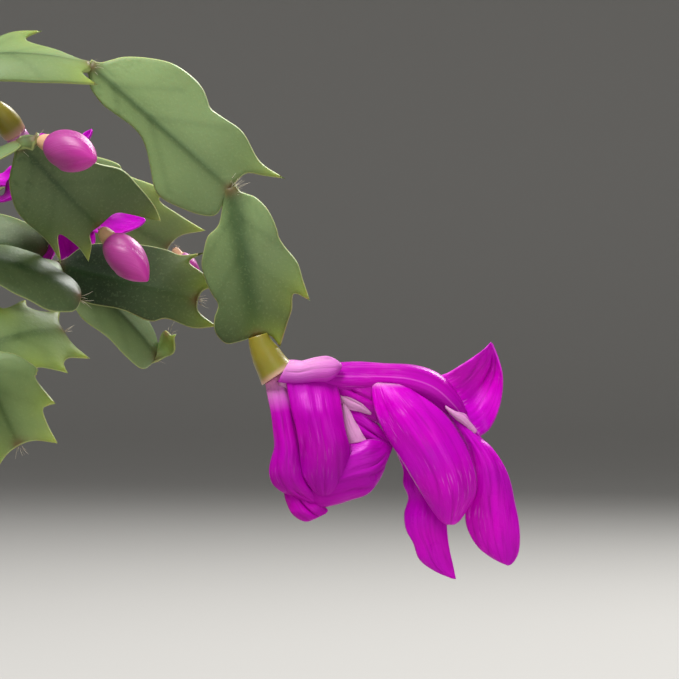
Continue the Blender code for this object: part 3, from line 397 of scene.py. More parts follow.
# %% Outlines
YOUNG_SIDE = [(0.19, 0.70), (0.32, 0.93), (0.43, 1.02), (0.47, 0.87), (0.79, 1.10), (0.77, 0.82),
              (0.90, 0.72), (1.12, 0.72), (1.0, 0.26)]
OLD_SIDE = [(0.25, 0.85), (0.65, 1.0), (0.94, 0.70), (1.0, 0.34)]
SHAPES = {
    "arm": ([(4.5, 7.6), (10.7, 12.5), (15.5, 14.9), (21.7, 15.7), (25.7, 15.1), (28.8, 13.5),
             (30.5, 12.6), (34.5, 12.9), (40.8, 13.5), (49.7, 10.7), (57.4, 11.8), (52.7, 8.5),
             (49.0, 6.0), (48.4, 2.4)],
            [(3.0, 4.2), (8.9, 5.6), (11.5, 5.4), (18.4, 4.8), (21.7, 5.2), (25.3, 6.9), (28.7, 9.4),
             (35.0, 13.6), (42.1, 12.3), (48.5, 9.4), (50.2, 7.4), (49.0, 2.0)]),
    "hand": ([(2.9, 5.8), (5.7, 8.0), (8.9, 9.3), (12.5, 10.0), (14.4, 10.1), (17.2, 11.2),
              (21.7, 13.6), (26.6, 14.3), (32.3, 15.1), (29.8, 11.3), (33.8, 10.0), (36.7, 8.4),
              (42.8, 5.2), (39.3, 2.9)],
             [(8.5, 5.0), (10.8, 8.2), (14.6, 10.1), (17.9, 11.3), (22.0, 11.0), (26.1, 9.9),
              (29.0, 8.8), (32.2, 10.4), (35.3, 11.0), (37.5, 10.3), (39.4, 8.6), (39.6, 6.0),
              (39.3, 2.9)]),
    "claw": ([(8.0, 6.5), (21.5, 11.3), (30.5, 14.9), (35.7, 15.1), (46.4, 14.5), (53.4, 12.9),
              (43.5, 8.8), (38.4, 5.8), (37.8, 2.6)],
             [(7.2, 8.8), (15.3, 12.4), (20.4, 13.0), (32.3, 12.6), (40.4, 14.1), (31.6, 8.9),
              (38.6, 7.6), (46.0, 8.4), (41.5, 4.6), (37.8, 2.6)]),
    "low": ([(4.9, 7.2), (15.0, 10.5), (26.6, 12.0), (30.9, 11.4), (37.6, 13.8), (33.8, 10.0),
             (38.8, 7.6), (42.6, 5.2), (39.5, 2.6)],
            [(3.7, 6.4), (10.0, 8.0), (20.0, 7.6), (28.6, 8.6), (32.0, 7.0), (40.0, 7.6),
             (46.1, 5.4), (41.0, 3.4), (39.5, 2.0)]),
    "fore": ([(4.5, 7.5), (8.0, 10.0), (15.0, 12.6), (20.0, 13.4), (25.0, 14.4), (21.0, 10.2),
              (30.0, 6.6), (36.0, 3.4), (38.4, 2.2)],
             [(6.0, 6.0), (14.0, 8.4), (22.0, 8.8), (30.0, 8.2), (34.0, 7.6), (40.5, 6.4), (36.6, 4.0),
              (38.4, 2.2)]),
    "curl": ([(2.2, 3.4), (5.4, 5.0), (9.6, 4.4), (8.0, 1.6)], [(2.2, 2.8), (5.4, 3.6), (8.0, 1.6)]),
    "stub": ([(2.5, 2.3), (5.8, 2.0)], [(2.5, 2.3), (5.8, 2.0)]),
}
YOUNG_HALF, OLD_HALF = 12.5, 8.5
NECK = [(-1.4, 1.5), (0.6, 2.2)]
TOOTH_TURN = math.radians(80)


def one_side(shape, number, length, rng):
    """The points of a side in millimetres, a little different on each segment."""
    if shape in SHAPES:
        return NECK + SHAPES[shape][number]
    half = OLD_HALF if shape == "old" else YOUNG_HALF
    outline = OLD_SIDE if shape == "old" else YOUNG_SIDE
    return NECK + [((along + rng.uniform(-0.02, 0.02)) * length, out * half * rng.uniform(0.95, 1.05))
                   for along, out in outline[:-1]] + [(length, outline[-1][1] * half)]


def split_at_teeth(points):
    """Cut a side where it turns sharply in, which is at the points of its teeth."""
    points = [Vector(point) for point in points]
    runs, start = [], 0
    for k in range(1, len(points) - 1):
        arrive, leave = points[k] - points[k - 1], points[k + 1] - points[k]
        turn = math.atan2(arrive.cross(leave), arrive.dot(leave))
        if turn < -TOOTH_TURN:
            runs.append(points[start:k + 1])
            start = k
    return runs + [points[start:]]


def leaf_outline(shape, length, rng, spacing):
    """A closed outline, and its teeth. The last stretches of both sides join across the tip."""
    right = split_at_teeth(one_side(shape, 0, length, rng))
    left = [[Vector((p.x, -p.y)) for p in run] for run in split_at_teeth(one_side(shape, 1, length, rng))]
    tip = right[-1] + left[-1][::-1]
    runs = right[:-1] + [tip] + [run[::-1] for run in left[:-1][::-1]]
    line = np.vstack([curve_through(run, spacing)[:-1] for run in runs] + [[tuple(runs[-1][-1])]])
    teeth = [tuple(run[-1]) for run in right[:-1]] + [tuple(run[-1]) for run in left[:-1]]
    return line, np.array(teeth or [(1e3, 1e3)])


rng = random.Random(1)
print("points round a young segment:", len(leaf_outline("young", 42, rng, 1.2)[0]))

# %% [markdown]
# ## From outline to leaf
#
# A leaf could be cut from a grid, but its teeth would come out as stairs. Here the outline is filled
# with triangles that fit it exactly, with a row of points just inside the edge and a honeycomb of
# points further in. Each flat point is then lifted to the leaf's middle surface, which arches along,
# sags to its sides and waves a little, and two faces are raised from it: thick at the rib and the
# joints, thin towards the rim.

# %% Fill an outline
def distance_to(points, line):
    """How far each point lies from a closed line."""
    start, run = line[None], (np.roll(line, -1, axis=0) - line)[None]
    away = points[:, None] - start
    share = np.clip((away * run).sum(2) / np.maximum((run ** 2).sum(2), 1e-9), 0, 1)
    return np.linalg.norm(away - share[..., None] * run, axis=2).min(1)


def is_inside(points, line):
    """Whether each point lies inside a closed line, by counting the edges on its right."""
    (x1, y1), (x2, y2) = line.T, np.roll(line, -1, axis=0).T
    x, y = points[:, :1], points[:, 1:]
    level = (y1 > y) != (y2 > y)
    cross = x1 + (y - y1) / np.where(y2 == y1, 1e-9, y2 - y1) * (x2 - x1)
    return (level & (x < cross)).sum(1) % 2 == 1


def fill(line, spacing, rim):
    """Flat points and triangles inside an outline, with a row of points at the rim's width."""
    run = np.roll(line, -1, axis=0) - np.roll(line, 1, axis=0)
    inward = np.stack([run[:, 1], -run[:, 0]], 1) / np.linalg.norm(run, axis=1)[:, None]
    row = line + inward * rim
    row = row[is_inside(row, line)]
    row = row[distance_to(row, line) > 0.85 * rim]
    low, high = line.min(0), line.max(0)
    x, y = np.meshgrid(np.arange(low[0], high[0], spacing), np.arange(low[1], high[1], spacing * 0.87))
    x[1::2] += spacing / 2
    grid = np.stack([x.ravel(), y.ravel()], 1)
    grid = grid[is_inside(grid, line)]
    grid = grid[distance_to(grid, line) > rim + 0.5 * spacing]
    flat = [Vector(point) for point in np.vstack([line, row, grid])]
    border = [(k, (k + 1) % len(line)) for k in range(len(line))]
    made = delaunay_2d_cdt(flat, border, [], 1, 1e-5)
    return np.array([tuple(point) for point in made[0]]), made[2]


# %% Lift it into a leaf
CUP = 0.10
RIM = 0.45
# How dark a segment is in its middle, and how much darker it gets towards its tip: partly the segment's own
# tone and partly painted shade
TONE_AND_PAINTED_SHADE = {"fore": (0.26, 0), "arm": (0.21, 0.46), "hand": (0.5, 0.8), "claw": (0.64, 0.2),
            "low": (0.95, -0.3), "curl": (0.45, 0.2)}
RIB_DEPTH = {"arm": 0.35, "hand": 1.0}
TWISTED_EDGES = {"fore": (0.022, 0.05)}


def raised(flat, faces, middle, normal, half_thickness, on_edge, **values):
    """A closed shell: an upper and a lower face that share the points of the edge."""
    below = np.arange(len(flat))
    inner = np.flatnonzero(~on_edge)
    below[inner] = len(flat) + np.arange(len(inner))
    upper = middle + normal * half_thickness[:, None]
    lower = (middle - normal * half_thickness[:, None])[inner]
    both = faces + [tuple(int(below[k]) for k in reversed(face)) for face in faces]
    values = {key: np.concatenate([data, data[inner]]) if np.ndim(data) else data
              for key, data in values.items()}
    return shell(np.vstack([upper, lower]), both, **values)


def near(distance, width):
    return np.exp(-(distance / width) ** 2)


def line_distance(flat, start, end):
    start, run = np.array(start), np.array(end) - np.array(start)
    share = np.clip((flat - start) @ run / (run @ run), 0, 1)
    return np.linalg.norm(flat - start - share[:, None] * run, axis=1)


def wrinkles(flat, seed):
    """Fine dents that run along a segment that has begun to shrink."""
    dents = [noise.noise((along * 0.13, out * 0.55, seed)) for along, out in flat]
    return near(np.array(dents), 0.07)


def leaf_shell(root, tip, across, shape, bow, rng, spacing, woody):
    root, tip, across = Vector(root), Vector(tip), Vector(across)
    length = (tip - root).length
    direction = (tip - root).normalized()
    across = (across - direction * across.dot(direction)).normalized()
    normal = np.array(direction.cross(across))
    line, teeth = leaf_outline(shape, length, rng, spacing)
    flat, faces = fill(line, spacing, RIM)
    along, out = flat.T
    edge = distance_to(flat, line)
    half = line[:, 1].max()
    share = along / length
    wave = math.tau * rng.random()
    rise = bow * 4 * share * (1 - share) - CUP * out ** 2 / half
    rise = rise + 0.8 * np.sin(share * 8 + wave) * (out / half) ** 2 * np.clip(share * 3, 0, 1)
    rise = rise + 0.35 * np.sin(share * 17 + wave * 2) * (out / half) ** 2
    above, below = TWISTED_EDGES.get(shape, (0, 0))
    rise = rise + np.where(out > 0, above, -below) * out ** 2
    middle = (np.array(root) + along[:, None] * np.array(direction) + out[:, None] * np.array(across)
              + rise[:, None] * normal)
    old = shape == "old"
    at_tip = near(np.hypot(along - length, out), 3.2)
    rib = near(out, 1.0) * np.clip(1.25 - 0.5 * share, 0, 1)
    rib = np.maximum(rib, RIB_DEPTH.get(shape, 0.45) * near(out, 3.2 - 0.8 * share))
    veins = sum(near(line_distance(flat, (start * length, 0), (end * length, side * half * 0.72)), 0.9)
                for side in (-1, 1) for start, end in ((0.16, 0.45), (0.42, 0.76)))
    thick = 0.32 + (1.1 if old else 0.75) * (1 - np.exp(-edge / 5)) + 0.35 * rib * (share < 1)
    thick = thick + 0.55 * at_tip + 0.7 * near(along, 3) * near(out, 3)
    on_edge = edge < 1e-4
    tooth = np.exp(-np.linalg.norm(flat[:, None] - teeth[None], axis=2).min(1) / 4.4)
    felt = near(np.hypot(along - length, out), 1.9) + 0.8 * near(along, 1.6) * near(out, 3)
    # Painted shade on top of a random tone: the `shade` value darkens the green and changes along the segment
    dark, deepen = TONE_AND_PAINTED_SHADE.get(shape, (0.12 + 0.5 * rng.random(), 0.25))
    shade = np.clip(dark + deepen * (share - 0.5), 0, 1)
    age = (1.0 if woody else 0.0) * np.clip(1.3 - 0.75 * share, 0, 1)
    dents = wrinkles(flat, wave) * near(along, 16) * (0.9 if shape == "claw" else 0.3)
    thick = thick - 0.35 * dents * (edge > RIM)
    # The rib value also takes in the wrinkle dents, so their creases get painted shade
    return raised(flat, faces, middle, normal, np.where(on_edge, 0, thick), on_edge,
                  edge=edge, rib=np.clip(rib + (0.2 * veins + 0.6 * dents) * (edge > RIM), 0, 1), tooth=tooth,
                  felt=np.clip(felt, 0, 1), age=age, shade=shade)

# %% [markdown]
# ## Stems with woody feet and hairy joints
#
# The foot of each stem is round and corky, the remains of its first segment. Where one segment grows
# from another sits a small felted cushion with a few stiff hairs. Hair curves would be quicker to
# place, but only mesh survives an export, so each hair is a thin three-sided tube that bends.

# %% Tubes and hairs
def tube(centres, radii, sides, finish=0, **values):
    """A closed tube along a line, with a radius at each of its points."""
    centres, radii = np.array(centres, float), np.array(radii, float)
    run = np.gradient(centres, axis=0)
    run /= np.linalg.norm(run, axis=1)[:, None]
    side = np.cross(run[0], (0.3, 0.2, 1) if abs(run[0][2]) < 0.9 else (1, 0, 0))
    points = []
    for centre, forward, radius in zip(centres, run, radii):
        side = side - forward * (side @ forward)
        side /= np.linalg.norm(side)
        other = np.cross(forward, side)
        turn = np.arange(sides) * math.tau / sides
        points.append(centre + radius * (np.cos(turn)[:, None] * side + np.sin(turn)[:, None] * other))
    rows = len(points)
    faces = [(r * sides + k, r * sides + (k + 1) % sides, (r + 1) * sides + (k + 1) % sides,
              (r + 1) * sides + k) for r in range(rows - 1) for k in range(sides)]
    faces += [tuple(range(sides))[::-1], tuple((rows - 1) * sides + k for k in range(sides))]
    values = {key: np.repeat(data, sides) if np.ndim(data) else data for key, data in values.items()}
    values["across"] = np.tile(2 * np.abs(np.arange(sides) * 2 / sides - 1) - 1, rows)
    return shell(np.vstack(points), faces, finish, **values)


def hairs(at, direction, count, length, rng, spread=0.8):
    """A tuft of stiff hairs from one joint."""
    made = []
    for _ in range(count):
        sway = Vector((rng.gauss(0, 1), rng.gauss(0, 1), rng.gauss(0, 1)))
        run = (direction.normalized() + sway * spread * 0.45).normalized()
        bend = Vector((rng.gauss(0, 1), rng.gauss(0, 1), rng.gauss(0, 1))) * 0.12
        reach = length * rng.uniform(0.35, 1.0)
        foot = at + sway * 0.45
        share = np.linspace(0, 1, 4)
        line = [foot + (run * s + bend * s * s) * reach for s in share]
        made.append(tube(line, 0.085 * (1 - 0.7 * share), 3, 2, along=share))
    return made


def foot_shell(foot, joint, first_tip, rng):
    """The round corky foot, from its hole in the soil into the neck of the first segment."""
    x, y = foot
    joint = Vector(joint)
    into = joint + (Vector(first_tip) - joint).normalized() * 3
    line = curve_through([(x, y, 94), (x, y, 108), tuple(joint * 0.45 + Vector((x, y, 109)) * 0.55),
                          tuple(joint), tuple(into)], 1.2)
    share = np.linspace(0, 1, len(line))
    radius = 3.2 - 0.9 * share + 0.35 * np.exp(-((share - 0.32) / 0.12) ** 2)
    radius *= [1 + 0.05 * rng.uniform(-1, 1) for _ in share]
    radius[-2:] *= (0.85, 0.5)
    return tube(line, radius, 14, 1)


# %% [markdown]
# ## The plan of the plant
#
# A stem of this cactus is a chain of flat segments, and each new one grows from the blunt tip of an
# older one. Eight stems are given one by one: the place of the foot and of the first joint, and for
# each segment the one that it grows from, or -1, where it ends, the way its width points and its
# kind, in millimetres.
#
# The other stems grow by a seeded rule, in three tiers. They lean out more with each segment, and may
# fork. The rule proposes segments until one has room. The CAD part tested the room. Here the same
# proposals are looked up in the frame: the one that grew has its crown, the thickest place of its
# face, at a corner of a packed stem. So the fine leaves always lie on the solids.

# %% Stems given one by one
PLACED_STEMS = [
    ((14, 0), (20, 0, 126), [
        (-1, (26, -2, 163), (0.2, 1, 0), "old"),
        (0, (41, 0, 201), (-0.2, 1, 0.1), "young"),
        (1, (72, 0, 228), (0, 1, 0.15), "young"),
        (2, (109.2, 0, 227.1), (0.05, 1, 0.32), "fore"),
        (3, (147, 0, 195.2), (0.65, 0.05, 0.76), "arm"),
        (4, (154.1, 0, 156.6), (0.98, -0.05, 0.18), "hand")]),
    ((24, -17), (29, -21, 124), [
        (-1, (42, -24, 157), (-0.2, 1, 0), "old"),
        (0, (66, -24, 186), (0, 1, 0.1), "young"),
        (1, (93.4, -22, 206.2), (0.1, 1, 0.4), "old"),
        (2, (111.9, 4, 185.7), (0.775, -0.02, 0.632), "claw"),
        (2, (98.3, -25.3, 207.1), (0.3, 0.6, 0.7), "stub")]),
    ((22, 14), (27, 18, 126), [
        (-1, (38, 28, 162), (0, 1, 0), "old"),
        (0, (54, 38, 204), (0.1, 1, 0.2), "young"),
        (1, (80, 42, 222), (0.2, 1, 0.3), "old")]),
    ((34, -4), (39, -2, 122), [
        (-1, (54, 4, 150), (0, 1, 0.1), "old"),
        (0, (77, 16, 176), (0, 1, 0.1), "young"),
        (1, (100, 26, 175.6), (0.1, 1, 0.2), "old"),
        (2, (137.6, 20, 166.4), (0.24, 0.25, 0.94), "low"),
        (2, (125, 40, 151), (0.35, 0.65, 0.67), "old")]),
    ((36, -24), (42, -30, 122), [
        (-1, (52, -44, 154), (0, 1, 0), "old"),
        (0, (60, -62, 183), (0.1, 1, 0.3), "young"),
        (1, (80, -90, 191), (0.85, 0.5, 0.1), "young")]),
    ((40, 14), (47, 16, 122), [
        (-1, (61, 12, 144), (0, 1, 0.2), "old"),
        (0, (80, 6, 153), (0.1, 0.9, 0.2), "old"),
        (1, (92, -3, 128), (0.9, -0.1, 0.3), "young"),
        (1, (102, 20, 158), (-0.3, 0.6, 0.75), "young")]),
    ((30, 28), (34, 35, 124), [
        (-1, (42, 56, 155), (-0.3, 1, 0), "old"),
        (0, (60, 80, 186), (-0.2, 1, 0.1), "old"),
        (1, (90, 98, 207), (0, 1, 0.3), "old"),
        (2, (127, 102, 183), (0.66, -0.3, 0.69), "young"),
        (1, (96, 68, 178), (-0.2, 0.45, 0.87), "old")]),
    ((47, -12), (53, -14, 122), [
        (-1, (63, -16, 150), (0, 1, 0), "old"),
        (0, (79, -13, 178), (0, 1, 0.1), "old"),
        (1, (101, -11, 161), (0.4, 0.7, 0.55), "old")]),
]
# These kinds have outlines of their own and stand just where they were placed
FIXED_KINDS = ("arm", "hand", "claw", "low", "stub")

# %% Look a segment up in the frame
UP = Vector((0, 0, 1))
SAME_PLACE = 0.01
CROWN_SHARE = 0.42
YOUNG_THICKNESS, OLD_THICKNESS = 2.6, 3.6
BOW, FIXED_BOW = 0.06, 0.02


def corner_tree(nodes):
    """The corners of some solids of the frame, so that the nearest one to a place can be found."""
    corners = [vertex.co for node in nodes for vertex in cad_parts[node].data.vertices]
    tree = KDTree(len(corners))
    for number, corner in enumerate(corners):
        tree.insert(corner, number)
    tree.balance()
    return tree


def off_by(tree, place):
    """How far a place is from the nearest corner, in millimetres."""
    return tree.find(place * MM)[2] / MM


stem_corners = corner_tree([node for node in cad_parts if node.startswith("stem_")])


class Segment:
    """One flat joint of a stem, between its root and its tip."""

    def __init__(self, before, root, tip, across, shape):
        self.before, self.root, self.tip, self.shape = before, root, tip, shape
        self.depth = before.depth + 1 if before else 0
        self.direction = (tip - root).normalized()
        self.across = (across - self.direction * across.dot(self.direction)).normalized()
        self.normal = self.direction.cross(self.across)
        self.bow = (tip - root).length * (FIXED_BOW if shape in FIXED_KINDS else BOW)

    def is_packed(self):
        """Whether the middle of its face, at its crown, is a corner of a stem in the frame."""
        length = (self.tip - self.root).length
        thickness = OLD_THICKNESS if self.shape == "old" else YOUNG_THICKNESS
        rise = self.bow * 4 * CROWN_SHARE * (1 - CROWN_SHARE) + thickness / 2
        crown = self.root + self.direction * CROWN_SHARE * length + self.normal * rise
        return off_by(stem_corners, crown) < SAME_PLACE


def pass_outline(shape, rng):
    """Draw the random numbers that the outline of a segment takes in the CAD part."""
    outline = OLD_SIDE if shape == "old" else YOUNG_SIDE
    count = 0 if shape in FIXED_KINDS else 4 * sum(along < 1 for along, _ in outline)
    if shape in ("young", "fore"):
        count += 1
    for _ in range(count):
        rng.random()


# %% Grow the plan
TIERS = [
    {"distance": 13, "leans": (5, 24, 48, 78, 112, 142), "length": 1.0, "most": 7,
     "turns": (62, 122, 182, 240, 298)},
    {"distance": 28, "leans": (16, 46, 88, 130), "length": 0.95, "most": 5,
     "turns": (92, 144, 196, 248, 300)},
    {"distance": 38, "leans": (26, 76, 126), "length": 0.82, "most": 4,
     "turns": (72, 120, 172, 224, 274)},
]
GROWTH_SEED = 27
ATTEMPTS = 60
PLACING_SWAY = 0.5
SOIL_TOP, SOIL_CROWN = 105, 4
RISE_TO_JOINT = 17
OLD_LENGTH, YOUNG_LENGTH = 35, 42
SHORTEST, LONGEST = 0.85, 1.1
FORK_DEPTHS, FORK_CHANCE, FORK_ANGLE = (2, 3), 0.55, 38
LEAST_SWING, MORE_TURN, MORE_LEAN = 6, 44, 34
LEAST_ROLL, MORE_ROLL = 25, 45


def shaken(rng):
    return Vector((rng.uniform(-1, 1), rng.uniform(-1, 1), rng.uniform(-1, 1)))


def direction_of(turn, lean):
    turn, lean = math.radians(turn), math.radians(lean)
    return Vector((math.cos(turn) * math.sin(lean), math.sin(turn) * math.sin(lean), math.cos(lean)))


def placed_segment(before, joint, tip, across, shape, rng):
    """The proposal near a given end point that is in the frame, or else the last one."""
    root = before.tip if before else joint
    for attempt in range(ATTEMPTS):
        sway = 0 if shape in FIXED_KINDS else PLACING_SWAY * attempt / ATTEMPTS
        moved_tip = tip + shaken(rng) * sway * (tip - root).length
        segment = Segment(before, root, moved_tip, across + shaken(rng) * sway, shape)
        pass_outline(shape, rng)
        if segment.is_packed():
            break
    return segment


def grown_segment(before, joint, turn, lean, reach, shape, rng):
    """The proposal near a wanted direction that is in the frame, or none."""
    root = before.tip if before else joint
    for attempt in range(ATTEMPTS):
        freedom = attempt / ATTEMPTS
        this_turn = turn + rng.uniform(-1, 1) * (LEAST_SWING + MORE_TURN * freedom)
        this_lean = lean + rng.uniform(-1, 1) * (LEAST_SWING + MORE_LEAN * freedom)
        roll = math.radians(rng.uniform(-1, 1) * (LEAST_ROLL + MORE_ROLL * freedom))
        direction = direction_of(this_turn, this_lean)
        level = UP.cross(direction).normalized()
        across = level * math.cos(roll) + direction.cross(level) * math.sin(roll)
        tip = root + direction * reach * rng.uniform(SHORTEST, LONGEST)
        segment = Segment(before, root, tip, across, shape)
        pass_outline(shape, rng)
        if segment.normal.z < 0:
            segment.bow = -segment.bow
        if segment.is_packed():
            return segment
    return None


def grown_stem(tier, turn, rng):
    """A stem rises, leans out more with each segment, and may fork on its way."""
    foot = direction_of(turn, 90) * tier["distance"]
    joint = foot + UP * (SOIL_TOP + SOIL_CROWN) + direction_of(turn, tier["leans"][0]) * RISE_TO_JOINT
    segments = []
    open_ends = [(None, turn)]
    while open_ends and len(segments) < tier["most"]:
        before, way = open_ends.pop(0)
        depth = before.depth + 1 if before else 0
        if depth >= len(tier["leans"]):
            continue
        shape = "young" if before else "old"
        reach = (YOUNG_LENGTH if before else OLD_LENGTH) * tier["length"]
        forks = depth in FORK_DEPTHS and rng.random() < FORK_CHANCE
        for side in ((-1, 1) if forks else (0,)):
            made = grown_segment(before, joint, way + side * FORK_ANGLE, tier["leans"][depth], reach,
                                 shape, rng)
            if made:
                segments.append(made)
                open_ends.append((made, math.degrees(math.atan2(made.tip.y, made.tip.x))))
    return foot, joint, segments


def to_places(values, places):
    return tuple(round(value, places) for value in values)


def plan_of(foot, joint, segments):
    """A stem's plan to a tenth of a millimetre: its foot, its joint and a row for each segment."""
    rows = [(segments.index(segment.before) if segment.before else -1, to_places(segment.tip, 1),
             to_places(segment.across, 2), segment.shape, round(segment.bow, 1))
            for segment in segments]
    return to_places(foot[:2], 1), to_places(joint, 1), rows


def plan_stems():
    rng = random.Random(GROWTH_SEED)
    stems = []
    for foot, joint, rows in PLACED_STEMS:
        segments = []
        for before, tip, across, shape in rows:
            parent = segments[before] if before >= 0 else None
            segments.append(placed_segment(parent, Vector(joint), Vector(tip), Vector(across), shape, rng))
        stems.append(plan_of(foot, joint, segments))
    for tier in TIERS:
        for turn in tier["turns"]:
            foot, joint, segments = grown_stem(tier, turn, rng)
            if segments:
                stems.append(plan_of(foot, joint, segments))
    return stems


STEMS = plan_stems()
print("stems:", len(STEMS), "segments:", sum(len(rows) for _, _, rows in STEMS))

# %% Build every stem
FINE, COARSE = 0.75, 1.35
STANDING_OUT = ("fore", "arm", "hand", "claw", "low")
HAIRS_POINT = {"arm": Vector((0.7, -0.25, 0.72))}
HAIR_COUNT = {"fore": 14, "arm": 26, "hand": 8, "claw": 10, "low": 14}
# A shrunken young segment, curled up at the end of a hanging one
EXTRA = {4: [(4, (129.0, 38.5, 158.0), (0.5, -0.75, -0.4), "curl", 1.2)]}
stem_triangles = 0
for number, (foot, joint, segments) in enumerate(STEMS, 1):
    rng = random.Random(100 + number)
    shells = [foot_shell(foot, joint, segments[0][1], rng)]
    for before, tip, across, shape, bow in segments + EXTRA.get(number, []):
        root = joint if before < 0 else segments[before][1]
        spacing = FINE if shape in STANDING_OUT else COARSE
        shells.append(leaf_shell(root, tip, across, shape, bow, rng, spacing, before < 0))
        run = HAIRS_POINT.get(shape, Vector(tip) - Vector(root))
        shells += hairs(Vector(tip), run, HAIR_COUNT.get(shape, 6), 4.8 if shape == "arm" else 3.4, rng)
    piece = make_piece("cactus_stem_%02d" % number, shells, [LEAF, WOOD, HAIR],
                       ["stem_%02d" % number])
    stem_triangles += sum(len(face) - 2 for part in shells for face in part["faces"])
print("stems:", len(STEMS), "with", stem_triangles, "triangles")

# %% [markdown]
# ## Magenta silk
#
# The petals are thin and full of water, so their colour is strong and even, with silky streaks that
# run from root to tip and catch the light. Near the root they fade to a pale pink. A velvet shader
# would give the sheen, but the streaks in colour, roughness and bump do it and survive an export.

# %% Petal, ovary, bud and stamen
def petal_finish():
    finish = Finish("petal_silk", "D000C2", Subsurface_Weight=0.12, Subsurface_Scale=0.002,
                    Specular_IOR_Level=0.33)
    finish.shader.inputs["Subsurface Radius"].default_value = (1.0, 0.2, 0.9)
    finish.shader.inputs["Specular Tint"].default_value = (1.0, 0.3, 0.95, 1)
    streaks = finish.effect(STREAKS, Count=9, Length=1.4)
    # Painted sheen over the petal's own fine veins: lighter and darker streaks from root to tip
    finish.lay("D808CC", finish.ramp(streaks, 0.5, 0.8), 0.45)
    finish.lay("A00090", finish.ramp(streaks, 0.5, 0.3), 0.35)
    finish.lay("8A04B4", finish.effect(BLOTCHES, Per_metre=60, Edge=0.3), 0.32)
    # Painted highlights: short pale glints along the streaks, in patches
    painted_glints = finish.ramp(finish.effect(STREAKS, Count=22, Length=7), 0.56, 0.72)
    places = finish.ramp(finish.effect(BLOTCHES, Per_metre=80, Edge=0.3), 0.55, 0.95)
    finish.lay("EE84E2", finish.math("MULTIPLY", painted_glints, places), 0.38)
    # Painted shade in the petal creases, carried by the `rib` value
    finish.lay("76006A", finish.value("rib"), 0.5)
    # Darker colour where a petal or the tube carries an `age` value
    finish.lay("84006C", finish.value("age"), 1.0)
    finish.lay("E0A0CE", finish.value("pale"), 0.9)
    # Painted highlight along the side edges of each petal
    fold = finish.ramp(finish.math("ABSOLUTE", finish.value("across")), 0.95, 1.0)
    finish.lay("EE70DE", fold, 0.35)
    finish.roughness(0.26, 0.5, finish.effect(BLOTCHES, Per_metre=160, Edge=0.4))
    fine = finish.effect(STREAKS, Count=14, Length=3)
    finish.bump(fine, 0.22, 0.6)
    return finish.done()


def ovary_finish():
    finish = Finish("ovary_skin", "92822A", Subsurface_Weight=0.15, Subsurface_Scale=0.003)
    finish.lay("6F7A2A", finish.effect(BLOTCHES, Per_metre=120, Edge=0.4), 0.4)
    finish.lay("D8A79C", finish.value("pale"), 0.9)
    finish.roughness(0.32, 0.45, finish.effect(BLOTCHES, Per_metre=300, Edge=0.5))
    finish.bump(finish.effect(GRAIN, Per_metre=900, Lumps=1.0), 0.08)
    return finish.done()


def bud_finish():
    finish = Finish("bud_skin", "A62E88", Subsurface_Weight=0.2, Subsurface_Scale=0.003)
    finish.shader.inputs["Subsurface Radius"].default_value = (1.0, 0.4, 0.7)
    streaks = finish.effect(STREAKS, Count=5, Length=1.2)
    finish.lay("B83090", finish.ramp(streaks, 0.45, 0.75), 0.35)
    finish.lay("C866AA", finish.effect(BLOTCHES, Per_metre=90, Edge=0.4), 0.4)
    finish.lay("C824A0", finish.ramp(finish.value("along"), 0.6, 0.95), 0.75)
    finish.lay("DFB08A", finish.value("pale"), 1.0)
    finish.roughness(0.34, 0.5, streaks)
    finish.bump(finish.effect(STREAKS, Count=16, Length=2), 0.12)
    return finish.done()


def stamen_finish():
    finish = Finish("stamen_thread", "F3E9EC", Subsurface_Weight=0.2, Subsurface_Scale=0.001)
    finish.lay("E7D27A", finish.value("pale"), 1.0)
    finish.lay("D216B0", finish.value("shade"), 1.0)
    finish.roughness(0.45, 0.6, finish.effect(BLOTCHES, Per_metre=900, Edge=0.5))
    return finish.done()


PETAL, OVARY, BUD, STAMEN = petal_finish(), ovary_finish(), bud_finish(), stamen_finish()
print("flower finishes:", [m.name for m in (PETAL, OVARY, BUD, STAMEN)])

# %% [markdown]
# ## Petals as sheets
#
# A petal is laid out as rows across it, from its root to its tip, and smooth curves run through
# them. The sheet between gets what a fading petal has: a crease along its middle, pleats, and a rim
# that ripples. Cloth simulation would fold it too, but not in the places that the photograph shows.

# %% Sheets
PETAL_HALF = 0.28


def sheet_shell(grid, half_thickness=PETAL_HALF, **values):
    """A closed thin sheet from a grid of points: rows run from root to tip."""
    rows, columns = grid.shape[:2]
    normal = np.cross(np.gradient(grid, axis=1), np.gradient(grid, axis=0))
    normal /= np.maximum(np.linalg.norm(normal, axis=2), 1e-9)[..., None]
    number = np.arange(rows * columns).reshape(rows, columns)
    below = number.copy()
    inner = number[1:-1, 1:-1]
    below[1:-1, 1:-1] = rows * columns + np.arange(inner.size).reshape(inner.shape)
    lift = np.zeros((rows, columns, 1))
    lift[1:-1, 1:-1] = half_thickness
    upper = (grid + normal * lift).reshape(-1, 3)
    lower = (grid - normal * lift)[1:-1, 1:-1].reshape(-1, 3)
    faces = []
    for one, turn in ((number, 1), (below, -1)):
        corners = np.stack([one[:-1, :-1], one[:-1, 1:], one[1:, 1:], one[1:, :-1]], -1).reshape(-1, 4)
        faces += [tuple(int(k) for k in face) for face in corners[:, ::turn]]
    values = {key: np.concatenate([data.ravel(), data[1:-1, 1:-1].ravel()]) if np.ndim(data) else data
              for key, data in values.items()}
    return shell(np.vstack([upper, lower]), faces, **values)


